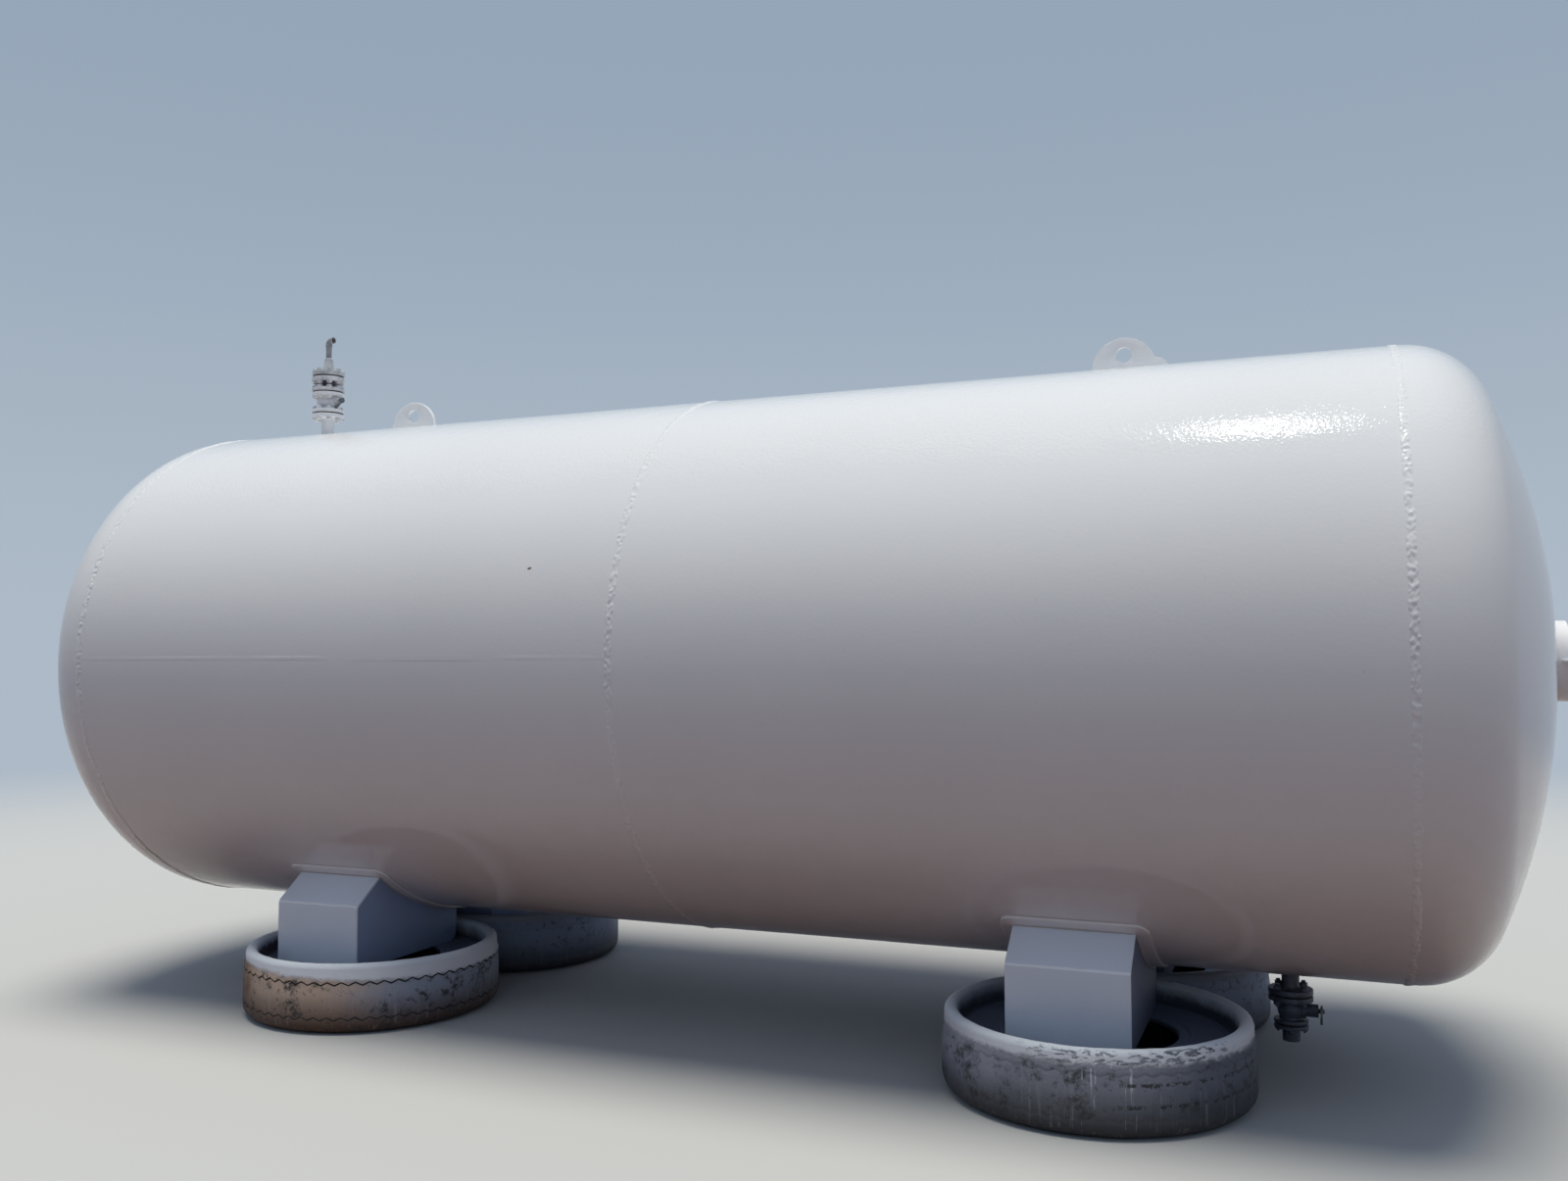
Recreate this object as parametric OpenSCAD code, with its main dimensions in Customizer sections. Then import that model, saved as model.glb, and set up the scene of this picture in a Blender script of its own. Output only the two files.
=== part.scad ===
// Horizontal pressure tank on four folded plate legs, which stand in the sidewalls of old truck tyres.
// Millimetres, +Z up, +X along the tank's axis towards the end with the gauge collar.
// The origin is on the ground, under the middle of the overall box.

/* [Shell] */
// Outside diameter of the shell
shell_d = 2200; // [2120:10:2260]
// Thickness of the shell plate
shell_t = 12; // [8:1:16]
// Length of each of the two courses, from weld line to weld line
course_length = 2550; // [2300:10:2900]
// Height of the shell's underside above the ground
ground_clearance = 340; // [320:5:420]

/* [Heads] */
// Straight flange of a head, before its knuckle
head_flange = 20; // [10:1:60]
// Outside radius of the knuckle
knuckle_r = 280; // [200:5:360]
// Outside radius of the crown
crown_r = 2280; // [2000:10:2600]
// Thickness of the head plate
head_t = 14; // [10:1:20]

/* [Welds] */
// Width of a girth weld's cap
bead_w = 28; // [20:1:36]
// Height of a girth weld's cap over the plate
bead_h = 4; // [2:0.5:6]
// Unbevelled root of a plate's edge
weld_root = 2; // [1:0.5:4]
// Slope of a plate's bevelled edge, in degrees from square
bevel_angle = 30; // [20:1:37]
// Width of a long seam's cap
seam_w = 18; // [12:1:26]
// Height of a long seam's cap
seam_h = 1.6; // [1:0.2:4]
// Height of the near long seam over the axis
seam_rise = 20; // [-60:5:80]

/* [Legs] */
// Distance from a leg's centre to the girth weld at its end of the tank
leg_inset = 1025; // [900:5:1150]
// Width of a leg along the tank
leg_w = 405; // [340:5:440]
// Half width of the stance, to the outer face of the front plates
stance = 800; // [760:5:840]
// Distance from the tank's centre plane to the top edge of a front plate
leg_top_y = 666; // [620:2:700]
// Drop of a front plate from its top edge to its bend
bend_drop = 99; // [70:1:130]
// Distance from the tank's centre plane to a leg's inner end
leg_inner_y = 137; // [110:1:180]
// Height of a leg's underside above the ground
foot_height = 197; // [180:1:230]
// Thickness of a front plate
plate_t = 10; // [8:1:14]
// Thickness of a leg's webs, bottom and inner end
web_t = 8; // [6:1:12]
// Outside radius of a front plate's bend
bend_r = 24; // [18:1:40]
// Outside radius of the bend between bottom and inner end
end_r = 40; // [24:1:60]
// Thickness of the wear pad between a leg and the shell
pad_t = 8; // [6:1:14]
// Margin of the wear pad round the leg
pad_margin = 46; // [30:1:70]
// Corner radius of the wear pad
pad_corner = 44; // [20:1:60]

/* [Tyres] */
// Outside diameter of a tyre
tyre_d = 1040; // [1036:2:1050]
// Height of a tyre lying flat
tyre_h = 272; // [250:2:300]
// Thickness of the tread
tread_t = 22; // [16:1:28]
// Thickness of a sidewall
sidewall_t = 12; // [8:1:16]
// Diameter of the bead hole
bead_d = 540; // [500:5:580]
// Diameter of a bead's core
bead_core = 22; // [16:1:28]
// Width of the rim that stays up round the sunken sidewall, at its foot
rim_w = 58; // [54:1:62]
// Width of the rim's round top
rim_top_w = 46; // [44:1:50]
// Width of a tread groove
groove_w = 7; // [4:0.5:10]
// Depth of a tread groove
groove_depth = 8; // [4:0.5:10]
// Height of the lower tread groove over the ground
groove_low = 63; // [56:1:90]
// Height of the upper tread groove over the ground
groove_high = 198; // [150:1:230]
// Gap between the two tyres of a pair
tyre_gap = 4; // [2:1:20]
// Radius of the lower shoulder
shoulder_r = 45; // [30:1:60]
// Width of the lower sidewall's flat on the ground
tread_flat = 90; // [60:5:120]
// Height of the lower bead over the ground
lower_bead_rise = 28; // [16:1:40]
// Shift of the left tyres towards the tank's middle
tyre_shift_left = 66; // [0:2:66]
// Shift of the right tyres, away from the tank's middle
tyre_shift_right = 45; // [0:5:60]

/* [Lifting lugs] */
// Distance from the left lug's centre to the left girth weld
lug_inset_left = 862; // [700:2:1000]
// Distance from the right lug's centre to the right girth weld
lug_inset_right = 921; // [700:1:1000]
// Outside radius of a lug
lug_r = 120; // [100:2:140]
// Height of a lug over the shell
lug_h = 137; // [120:1:170]
// Thickness of a lug
lug_t = 20; // [14:1:26]
// Diameter of a lug's eye
eye_d = 60; // [40:2:74]
// Height of the eye's centre over the shell
eye_h = 71; // [60:1:80]
// Reach of the right lug's foot past its half round
foot_reach = 48; // [30:1:80]
// Height of the right lug's foot
foot_rise = 52; // [36:1:70]

/* [Relief stack] */
// Distance from the stack to the left girth weld
relief_inset = 340; // [260:5:420]
// Outside diameter of the nozzle pipe
relief_pipe_d = 60.3; // [52:0.1:64]
// Wall of the nozzle pipe
relief_pipe_t = 3.9; // [3:0.1:6]
// Height of the nozzle pipe over the shell, to its flange
relief_stub = 99; // [80:1:130]
// Outside diameter of the stack's flanges
relief_flange_d = 152; // [146:1:158]
// Bolt circle of the stack's flanges
relief_pcd = 121; // [118:1:124]
// Bolt holes in each of the stack's flanges
relief_bolts = 8; // [4, 8]
// Diameter of the stack's bolt holes
relief_hole_d = 19; // [15:1:20]
// Thickness of the nozzle's flange
nozzle_flange_t = 19; // [14:1:24]
// Height of a flange's raised face
face_h = 1.5; // [1:0.5:2]
// Thickness of a gasket
gasket_t = 4; // [2:0.5:5]
// Distance from a flange's edge in to its gasket's edge
gasket_inset = 4; // [2:1:8]
// Thickness of the isolating valve's flanges
valve_flange_t = 17; // [14:1:22]
// Height of the isolating valve's barrel
valve_h = 68; // [62:1:80]
// Diameter of the isolating valve's barrel at its flanges
valve_end_d = 84; // [78:1:88]
// Diameter of the isolating valve's barrel at its swelled middle
valve_d = 105; // [100:1:110]
// Length of the isolating valve's swell
valve_swell_l = 42; // [38:1:50]
// Height of the isolating valve's stem over its barrel's middle
stem_lift = 10; // [0:1:11]
// Diameter of the neck over the valve
neck_d = 60; // [56:1:66]
// Height of the neck between its flanges
neck_h = 34; // [28:1:50]
// Thickness of the neck's upper flange
neck_flange_t = 22; // [18:1:28]
// Thickness of the vent's flange
vent_flange_t = 23; // [18:1:28]
// Height of the vent's cone
cone_h = 62; // [40:1:80]
// Diameter at the foot of the vent's cone
cone_d = 60; // [52:1:70]
// Diameter at the top of the vent's cone
cone_top_d = 37; // [32:1:44]
// Outside diameter of the vent pipe
vent_pipe_d = 26.9; // [24:0.1:28]
// Wall of the vent pipe
vent_pipe_t = 2.6; // [2.3:0.1:3.2]
// Length of the vent pipe between cone and elbow
vent_pipe_h = 66; // [30:1:120]
// Outside diameter of the elbow's sockets
socket_d = 32; // [31:0.5:40]
// Bore of the elbow's open mouth
mouth_d = 25; // [23:0.5:27]
// Length of an elbow's socket
socket_l = 10; // [8:1:16]
// Radius of the elbow's bend
elbow_r = 20; // [18:1:40]

/* [Valve levers] */
// Diameter of the relief valve's gland boss
relief_gland_d = 32; // [30:1:36]
// Diameter of the drain valve's gland boss
drain_gland_d = 46; // [38:1:52]
// Diameter of a valve's stem
stem_d = 16; // [12:1:20]
// Radial clearance of a stem in its gland
stem_gap = 0.08; // [0.05:0.01:0.1]
// Thickness of a lever
lever_t = 8; // [6:1:10]
// Width of the relief valve's lever
relief_lever_w = 12; // [10:1:20]
// Width of the drain valve's lever
drain_lever_w = 24; // [18:1:32]
// Diameter of the hub on the relief valve's lever
relief_hub_d = 26; // [22:1:34]
// Diameter of the hub on the drain valve's lever
drain_hub_d = 38; // [34:1:44]
// Clearance between a lever and the flanges that it turns past
lever_gap = 6; // [5:0.5:12]
// Distance from the edge of the relief valve's flanges back to its gland's face
relief_gland_back = 4; // [2:1:8]
// Distance from the edge of the drain's upper flanges out to its gland's face
drain_gland_reach = 16; // [10:1:24]
// Length of the relief valve's lever, from its stem
relief_lever_l = 66; // [50:1:90]
// Angle of the relief valve's lever below level
relief_lever_fall = 45; // [0:5:90]
// Length of the drain valve's lever, from its stem
drain_lever_l = 150; // [120:5:160]

/* [Drain] */
// Distance from the drain to the right girth weld
drain_inset = 371; // [300:1:450]
// Outside diameter of the drain's pipe
drain_pipe_d = 60.3; // [50:0.1:66]
// Wall of the drain's pipe
drain_pipe_t = 3.9; // [3:0.1:6]
// Length of the drain's pipe below the shell, to its flange
drain_stub = 70; // [60:1:80]
// Outside diameter of the drain's upper flanges
drain_flange_d = 152; // [146:1:158]
// Bolt circle of the drain's upper flanges
drain_pcd = 121; // [117:1:124]
// Diameter of the bolt holes in the upper flanges
drain_hole_d = 19; // [15:1:20]
// Thickness of the drain's flanges
drain_flange_t = 19; // [14:1:22]
// Length of the drain valve's barrel
drain_valve_h = 66; // [60:1:74]
// Diameter of the drain valve's barrel at its flanges
drain_valve_end_d = 78; // [72:1:82]
// Diameter of the drain valve's barrel at its swelled middle
drain_valve_d = 92; // [86:1:96]
// Length of the drain valve's swell
drain_swell_l = 50; // [40:1:56]
// Outside diameter of the drain's tail flanges
tail_flange_d = 117; // [112:1:124]
// Bolt circle of the tail flanges
tail_pcd = 89; // [86:0.5:92]
// Diameter of the bolt holes in the tail flanges
tail_hole_d = 15; // [12:0.5:16]
// Thickness of a tail flange
tail_flange_t = 14; // [10:1:16]
// Outside diameter of the tail pipe
tail_pipe_d = 60.3; // [48:0.1:62]
// Wall of the tail pipe
tail_pipe_t = 5; // [3:0.1:6]
// Length of the tail pipe below its flange
tail_pipe_h = 46; // [30:1:60]

/* [Gauge] */
// Outside diameter of the gauge collar
collar_d = 273; // [240:1:320]
// Wall of the gauge collar
collar_t = 9; // [6:1:12]
// Height of the gauge collar over the crown's middle
collar_h = 45; // [35:1:90]
// Diameter of the gauge flange
gauge_d = 92; // [80:1:120]
// Height of the gauge flange over the crown's middle
gauge_h = 22; // [16:1:30]
// Outside diameter of the gauge flange's spigot, which goes through the head
gauge_bore = 38; // [28:1:46]
// Bolt circle of the gauge flange
gauge_pcd = 64; // [60:1:68]
// Diameter of the gauge flange's bolt holes
gauge_hole_d = 9; // [6:0.5:11]
// Length of a hinge lug along the tank
hinge_l = 30; // [20:1:40]
// Reach of a hinge lug out from the collar
hinge_reach = 26; // [20:1:36]
// Thickness of a hinge lug
hinge_t = 8; // [6:1:12]
// Diameter of the hole in a hinge lug
hinge_hole_d = 10; // [6:0.5:12]

/* [Hidden] */
$fn = 48;
large_fn = 180;
fine_fn = 3600;
gauge_wall = 5;
neck_step = 4;
gasket_step = 2;
face_margin = 8;
elbow_swell = 2;
gauge_hole_depth = 16;
crown_fall = 12;
over = 1;
far = 4000;
nozzle_fit = 0.3;
seat_gap = 0.3;
weld_fit = 0.1;

paint = "white";
primer = "slategray";
rubber = "dimgray";
gasket = "black";

shell_r = shell_d / 2;
axis_height = ground_clearance + shell_r;
pad_r = shell_r + pad_t;

// Rise of the crown's middle over the end of the straight flange
crown_centre = sqrt(pow(crown_r - knuckle_r, 2) - pow(shell_r - knuckle_r, 2));
head_depth = head_flange + crown_r - crown_centre;
knuckle_angle = atan2(crown_centre, shell_r - knuckle_r);

// The collar stands past the right head, so the welds are shifted to keep the box centred
mid_x = -collar_h / 2;
left_weld_x = mid_x - course_length;
right_weld_x = mid_x + course_length;
crown_x = right_weld_x + head_depth;

left_leg_x = left_weld_x + leg_inset;
right_leg_x = right_weld_x - leg_inset;
relief_x = left_weld_x + relief_inset;
drain_x = right_weld_x - drain_inset;
left_lug_x = left_weld_x + lug_inset_left;
right_lug_x = right_weld_x - lug_inset_right;

// Heights up the relief stack, over the shell
relief_face = relief_stub + nozzle_flange_t;
valve_z = relief_face + gasket_t;
stem_z = valve_z + valve_flange_t + valve_h / 2 + stem_lift;
neck_z = valve_z + valve_h + 2 * valve_flange_t + gasket_t;
neck_top = neck_z + valve_flange_t + neck_h + neck_flange_t;
vent_z = neck_top + gasket_t;
cone_top = vent_z + vent_flange_t + cone_h;
elbow_z = cone_top + vent_pipe_h;

// Depths down the drain, below the shell
drain_face = drain_stub + drain_flange_t;
drain_valve_z = drain_face + gasket_t;
drain_stem_z = drain_valve_z + drain_flange_t + drain_valve_h / 2;
tail_face = drain_valve_z + drain_flange_t + drain_valve_h + tail_flange_t;
tail_z = tail_face + gasket_t;

relief_lever_x = relief_flange_d / 2 + lever_gap;
relief_gland_x = relief_lever_x - lever_gap - relief_gland_back;
drain_gland_x = drain_flange_d / 2 + drain_gland_reach;
drain_lever_x = drain_gland_x + lever_gap;

// Profiles turn about the tank's axis once they are laid along X
module along_x(x) {
    translate([x, 0, axis_height])
        rotate([0, 90, 0])
            children();
}

module shell_bulk(r) {
    along_x(-far)
        cylinder(h = 2 * far, r = r, $fn = large_fn);
}

module on_shell_top(x) {
    translate([x, 0, axis_height + shell_r])
        children();
}

module under_shell(x) {
    translate([x, 0, axis_height - shell_r])
        mirror([0, 0, 1])
            children();
}

// Shell courses, bevelled at both ends for the girth welds
bevel = (shell_t - weld_root) * tan(bevel_angle);

module course(x) {
    along_x(x)
        rotate_extrude($fn = large_fn)
            polygon([
                [shell_r - shell_t, 0],
                [shell_r - shell_t + weld_root, 0],
                [shell_r, bevel],
                [shell_r, course_length - bevel],
                [shell_r - shell_t + weld_root, course_length],
                [shell_r - shell_t, course_length],
            ]);
}

module shell_left() {
    color(paint)
        difference() {
            course(left_weld_x);
            on_shell_top(relief_x)
                translate([0, 0, -3 * shell_t])
                    cylinder(h = 6 * shell_t, d = relief_pipe_d + 2 * nozzle_fit);
        }
}

module shell_right() {
    color(paint)
        difference() {
            course(mid_x);
            under_shell(drain_x)
                translate([0, 0, -3 * shell_t])
                    cylinder(h = 6 * shell_t, d = drain_pipe_d + 2 * nozzle_fit);
        }
}

// A dished head's solid of revolution, set in from its outer face: straight flange, knuckle and crown
module head_bulk(inset) {
    reach = 2 * crown_r;
    translate([0, -inset])
        square([shell_r - inset, head_flange + inset]);
    intersection() {
        translate([shell_r - knuckle_r, head_flange])
            circle(r = knuckle_r - inset, $fn = large_fn);
        translate([0, head_flange])
            square(shell_r);
    }
    translate([0, head_flange - crown_centre])
        intersection() {
            circle(r = crown_r - inset, $fn = large_fn);
            polygon([
                [0, 0],
                [reach * cos(knuckle_angle), reach * sin(knuckle_angle)],
                [0, reach],
            ]);
        }
}

module head_profile() {
    head_bevel = (head_t - weld_root) * tan(bevel_angle);
    difference() {
        intersection() {
            head_bulk(0);
            square(2 * shell_r);
        }
        head_bulk(head_t);
        polygon([
            [shell_r - head_t + weld_root, 0],
            [shell_r, head_bevel],
            [shell_r + over, head_bevel],
            [shell_r + over, -over],
            [shell_r - head_t + weld_root, -over],
        ]);
    }
}

module head() {
    rotate_extrude($fn = large_fn)
        head_profile();
}

module head_left() {
    color(paint)
        along_x(left_weld_x)
            mirror([0, 0, 1])
                head();
}

module head_right() {
    color(paint)
        difference() {
            along_x(right_weld_x)
                head();
            along_x(crown_x - 3 * head_t)
                cylinder(h = 6 * head_t, d = gauge_bore + 2 * nozzle_fit);
        }
}

// The room that a plate's bevelled edge takes from a girth weld's profile
module plate_edge(root_r, plate_bevel) {
    face = plate_bevel - weld_fit;
    root = face - (shell_r - root_r) * tan(bevel_angle);
    polygon([
        [root_r - over, root],
        [root_r, root],
        [shell_r, face],
        [shell_r + weld_fit, face],
        [shell_r + weld_fit, bead_w],
        [root_r - over, bead_w],
    ]);
}

// A girth weld fills the bevels of the two plates and stands up in a cap
module girth_weld(x, left_t, right_t) {
    left_bevel = (left_t - weld_root) * tan(bevel_angle);
    right_bevel = (right_t - weld_root) * tan(bevel_angle);
    root_r = shell_r - min(left_t, right_t) + weld_root + weld_fit / tan(bevel_angle);
    cap_r = (pow(bead_w / 2, 2) + pow(bead_h, 2)) / (2 * bead_h);
    color(paint)
        along_x(x)
            rotate_extrude($fn = large_fn)
                difference() {
                    intersection() {
                        translate([shell_r + bead_h - cap_r, 0])
                            circle(r = cap_r);
                        translate([root_r, -bead_w / 2])
                            square([shell_r + bead_h - root_r, bead_w]);
                    }
                    plate_edge(root_r, right_bevel);
                    mirror([0, 1])
                        plate_edge(root_r, left_bevel);
                }
}

// A long seam is a low cap along the plate, between two girth welds
module seam_weld(x, angle) {
    cap_r = (pow(seam_w / 2, 2) + pow(seam_h, 2)) / (2 * seam_h);
    color(paint)
        translate([x + bead_w / 2, 0, axis_height])
            rotate([angle, 0, 0])
                rotate([90, 0, 90])
                    linear_extrude(course_length - bead_w)
                        difference() {
                            translate([shell_r + seam_h - cap_r, 0])
                                circle(r = cap_r, $fn = large_fn);
                            circle(r = shell_r + seat_gap, $fn = fine_fn);
                        }
}

// Outline of a leg in Y and Z from the tank's axis, moved in from its front and from its end
leg_top_z = -sqrt(pow(pad_r, 2) - pow(leg_top_y, 2));
slope_run = stance - leg_top_y;
slope_l = norm([slope_run, bend_drop]);
slope_up = [-slope_run / slope_l, bend_drop / slope_l];
slope_out = [bend_drop / slope_l, slope_run / slope_l];
bend_angle = atan2(slope_out[1], slope_out[0]);
bend_centre = [stance - bend_r, leg_top_z - bend_drop - bend_r * tan(bend_angle / 2)];
sole_z = foot_height - axis_height;
slope_over = slope_l + 2 * pad_margin;

module leg_outline(from_front, from_end) {
    front_y = stance - from_front;
    end_y = leg_inner_y + from_end;
    sole = sole_z + from_end;
    corner_r = end_r - from_end;
    tangent = bend_centre + (bend_r - from_front) * slope_out;
    top = tangent + slope_over * slope_up;
    polygon([
        [end_y, sole + corner_r],
        [end_y + corner_r, sole + corner_r],
        [end_y + corner_r, sole],
        [front_y, sole],
        [front_y, bend_centre[1]],
        bend_centre,
        tangent,
        top,
        [end_y, top[1]],
    ]);
    translate([end_y + corner_r, sole + corner_r])
        circle(r = corner_r);
    translate(bend_centre)
        circle(r = bend_r - from_front);
}

// Stands a leg's piece at its corner of the tank
module at_leg(x, side) {
    scale_side = side > 0 ? 0 : 1;
    translate([x, 0, 0])
        mirror([0, scale_side, 0])
            children();
}

module across_leg(x, w) {
    translate([x, 0, axis_height])
        rotate([90, 0, 90])
            linear_extrude(w)
                children();
}

module leg_plate(x, side) {
    color(paint)
        difference() {
            at_leg(x, side)
                across_leg(-leg_w / 2, leg_w)
                    difference() {
                        leg_outline(0, 0);
                        leg_outline(plate_t, 0);
                        translate([leg_inner_y - over, sole_z - over])
                            square([plate_t + stance - leg_inner_y - 2 * plate_t + over, over]);
                    }
            shell_bulk(pad_r);
        }
}

module leg_box(x, side) {
    color(paint)
        difference() {
            at_leg(x, side) {
                across_leg(-leg_w / 2, web_t)
                    leg_outline(plate_t, 0);
                across_leg(leg_w / 2 - web_t, web_t)
                    leg_outline(plate_t, 0);
                across_leg(web_t - leg_w / 2, leg_w - 2 * web_t)
                    difference() {
                        leg_outline(plate_t, 0);
                        leg_outline(plate_t, web_t);
                    }
            }
            shell_bulk(pad_r);
        }
}

module leg_pad(x, side) {
    pad_w = leg_w + 2 * pad_margin;
    low_y = leg_inner_y - pad_margin;
    pad_l = leg_top_y + pad_margin * cos(asin(leg_top_y / pad_r)) - low_y;
    color(paint)
        difference() {
            intersection() {
                shell_bulk(pad_r);
                at_leg(x, side)
                    translate([-pad_w / 2, low_y, 0])
                        linear_extrude(axis_height)
                            rounded_square(pad_w, pad_l, pad_corner);
            }
            shell_bulk(shell_r);
        }
}

module rounded_square(w, l, r) {
    translate([r, 0])
        square([w - 2 * r, l]);
    translate([0, r])
        square([w, l - 2 * r]);
    for (x = [r, w - r], y = [r, l - r])
        translate([x, y])
            circle(r = r);
}

// A truck tyre lying flat, with its upper sidewall sunk under the leg
tyre_r = tyre_d / 2;
rim_r = rim_top_w / 2;

module tyre_profile() {
    bead_r = bead_d / 2;
    rim_z = tyre_h - rim_r;
    inner_r = tyre_r - tread_t;
    dish_r = tyre_r - rim_w;
    ground_r = tyre_r - shoulder_r - tread_flat;
    cavity_r = shoulder_r - tread_t;
    lobe_w = rim_top_w - tread_t - sidewall_t;
    difference() {
        union() {
            translate([bead_r, 0])
                square([tyre_r - shoulder_r - bead_r, foot_height]);
            polygon([
                [dish_r, shoulder_r],
                [tyre_r, shoulder_r],
                [tyre_r, rim_z],
                [tyre_r - rim_top_w, rim_z],
                [dish_r, foot_height],
            ]);
            translate([tyre_r - rim_r, rim_z])
                circle(r = rim_r);
            translate([tyre_r - shoulder_r, shoulder_r])
                circle(r = shoulder_r);
        }
        polygon([
            [0, -over],
            [ground_r + over, -over],
            [ground_r, 0],
            [bead_r, lower_bead_rise],
            [0, lower_bead_rise],
        ]);
        polygon([
            [0, lower_bead_rise + sidewall_t],
            [bead_r, lower_bead_rise + sidewall_t],
            [ground_r, sidewall_t],
            [inner_r - cavity_r, sidewall_t],
            [inner_r - cavity_r, sidewall_t + cavity_r],
            [inner_r, sidewall_t + cavity_r],
            [inner_r, rim_z],
            [inner_r - lobe_w, rim_z],
            [dish_r + sidewall_t, foot_height - sidewall_t],
            [0, foot_height - sidewall_t],
        ]);
        translate([inner_r - cavity_r, sidewall_t + cavity_r])
            circle(r = cavity_r);
        translate([inner_r - lobe_w / 2, rim_z])
            circle(d = lobe_w);
        for (z = [groove_low, groove_high])
            translate([tyre_r - groove_depth, z - groove_w / 2])
                square([groove_depth + over, groove_w]);
    }
    for (z = [foot_height - bead_core / 2, lower_bead_rise + bead_core / 2])
        translate([bead_r + bead_core / 2, z])
            circle(d = bead_core);
}

module tyre(x, side) {
    color(rubber)
        translate([x, side * (tyre_r + tyre_gap / 2), 0])
            rotate_extrude($fn = large_fn)
                tyre_profile();
}

// Lifting lugs on the top centre line
module lug_plate(x) {
    lug_centre = lug_h - lug_r;
    translate([x, lug_t / 2, axis_height + shell_r])
        rotate([90, 0, 0])
            linear_extrude(lug_t)
                difference() {
                    union() {
                        translate([0, lug_centre])
                            circle(r = lug_r, $fn = 96);
                        children();
                    }
                    translate([0, eye_h])
                        circle(d = eye_d);
                    translate([-far, -2 * far])
                        square([2 * far, 2 * far]);
                }
}

module lifting_lug_left() {
    color(paint)
        lug_plate(left_lug_x);
}

module lifting_lug_right() {
    color(paint)
        lug_plate(right_lug_x) {
            foot_centre = lug_r + foot_reach - foot_rise;
            translate([foot_centre, 0])
                circle(r = foot_rise);
            square([foot_centre, foot_rise]);
        }
}

// A flange stands on Z from z up, with its raised face on top (1), below (-1) or left out (0)
// Its bolt holes are counted from the one at the first angle
module flange(z, d, t, bore, pcd, holes, hole_d, face, first) {
    rim_z = face < 0 ? face_h : 0;
    rim_t = t - abs(face) * face_h;
    translate([0, 0, z])
        difference() {
            union() {
                translate([0, 0, rim_z])
                    cylinder(h = rim_t, d = d, $fn = 96);
                cylinder(h = t, d = pcd - hole_d - face_margin);
            }
            translate([0, 0, -over])
                cylinder(h = t + 2 * over, d = bore);
            for (i = [0 : holes - 1])
                rotate([0, 0, first + i * 360 / holes])
                    translate([pcd / 2, 0, -over])
                        cylinder(h = t + 2 * over, d = hole_d, $fn = 32);
        }
}

// A valve's cast barrel: a cylinder between its flanges with a round swell about its middle
module barrel(z, h, end_d, mid_d, swell_l) {
    swell = (mid_d - end_d) / 2;
    swell_r = (pow(swell_l / 2, 2) + pow(swell, 2)) / (2 * swell);
    translate([0, 0, z])
        rotate_extrude($fn = 96) {
            square([end_d / 2, h]);
            translate([0, (h - swell_l) / 2])
                intersection() {
                    translate([mid_d / 2 - swell_r, swell_l / 2])
                        circle(r = swell_r, $fn = large_fn);
                    square([mid_d / 2, swell_l]);
                }
        }
}

module pipe(z, h, d, t) {
    translate([0, 0, z])
        difference() {
            cylinder(h = h, d = d);
            translate([0, 0, -over])
                cylinder(h = h + 2 * over, d = d - 2 * t);
        }
}

// A cone with a bore, for weld fillets, hubs and reducers
module hub(z, h, d1, d2, bore) {
    translate([0, 0, z])
        difference() {
            cylinder(h = h, d1 = d1, d2 = d2);
            translate([0, 0, -over])
                cylinder(h = h + 2 * over, d = bore);
        }
}

module stack_flange(z, t, bore, face) {
    flange(z, relief_flange_d, t, bore, relief_pcd, relief_bolts, relief_hole_d, face, 0);
}

relief_bore = relief_pipe_d - 2 * relief_pipe_t;
vent_bore = vent_pipe_d - 2 * vent_pipe_t;
neck_bore = relief_bore - 2 * neck_step;
nozzle_depth = 60;
fillet = 12;

module relief_nozzle() {
    color(paint) {
        on_shell_top(relief_x) {
            pipe(-nozzle_depth, nozzle_depth + relief_stub, relief_pipe_d, relief_pipe_t);
            stack_flange(relief_stub, nozzle_flange_t, relief_bore, 1);
            hub(relief_stub - fillet, fillet, relief_pipe_d, relief_pipe_d + fillet, relief_bore + 2);
        }
        difference() {
            on_shell_top(relief_x)
                hub(-fillet, 2 * fillet, relief_pipe_d + 4 * fillet, relief_pipe_d, relief_bore + 2);
            shell_bulk(shell_r);
        }
    }
}

module stack_gasket(z) {
    d = relief_flange_d - 2 * gasket_inset;
    flange(z, d, gasket_t, relief_bore, relief_pcd, relief_bolts, relief_hole_d, 0, 0);
}

module relief_gaskets() {
    color(gasket)
        on_shell_top(relief_x) {
            stack_gasket(relief_face);
            stack_gasket(neck_z - gasket_t);
            stack_gasket(neck_top);
        }
}

// A gland boss stands on a barrel's +X side and takes the lever's stem
module gland(z, d, barrel_d, end_x) {
    translate([0, 0, z])
        rotate([0, 90, 0])
            cylinder(h = end_x, d = d);
    translate([barrel_d / 2 - gland_collar_l, 0, z])
        rotate([0, 90, 0])
            cylinder(h = 1.5 * gland_collar_l, d = d + fillet);
}

module stem_hole(z, from_x) {
    translate([from_x, 0, z])
        rotate([0, 90, 0])
            cylinder(h = far, d = stem_d + 2 * stem_gap);
}

stem_seat = 30;
gland_collar_l = 8;
stem_proud = 6;

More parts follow.
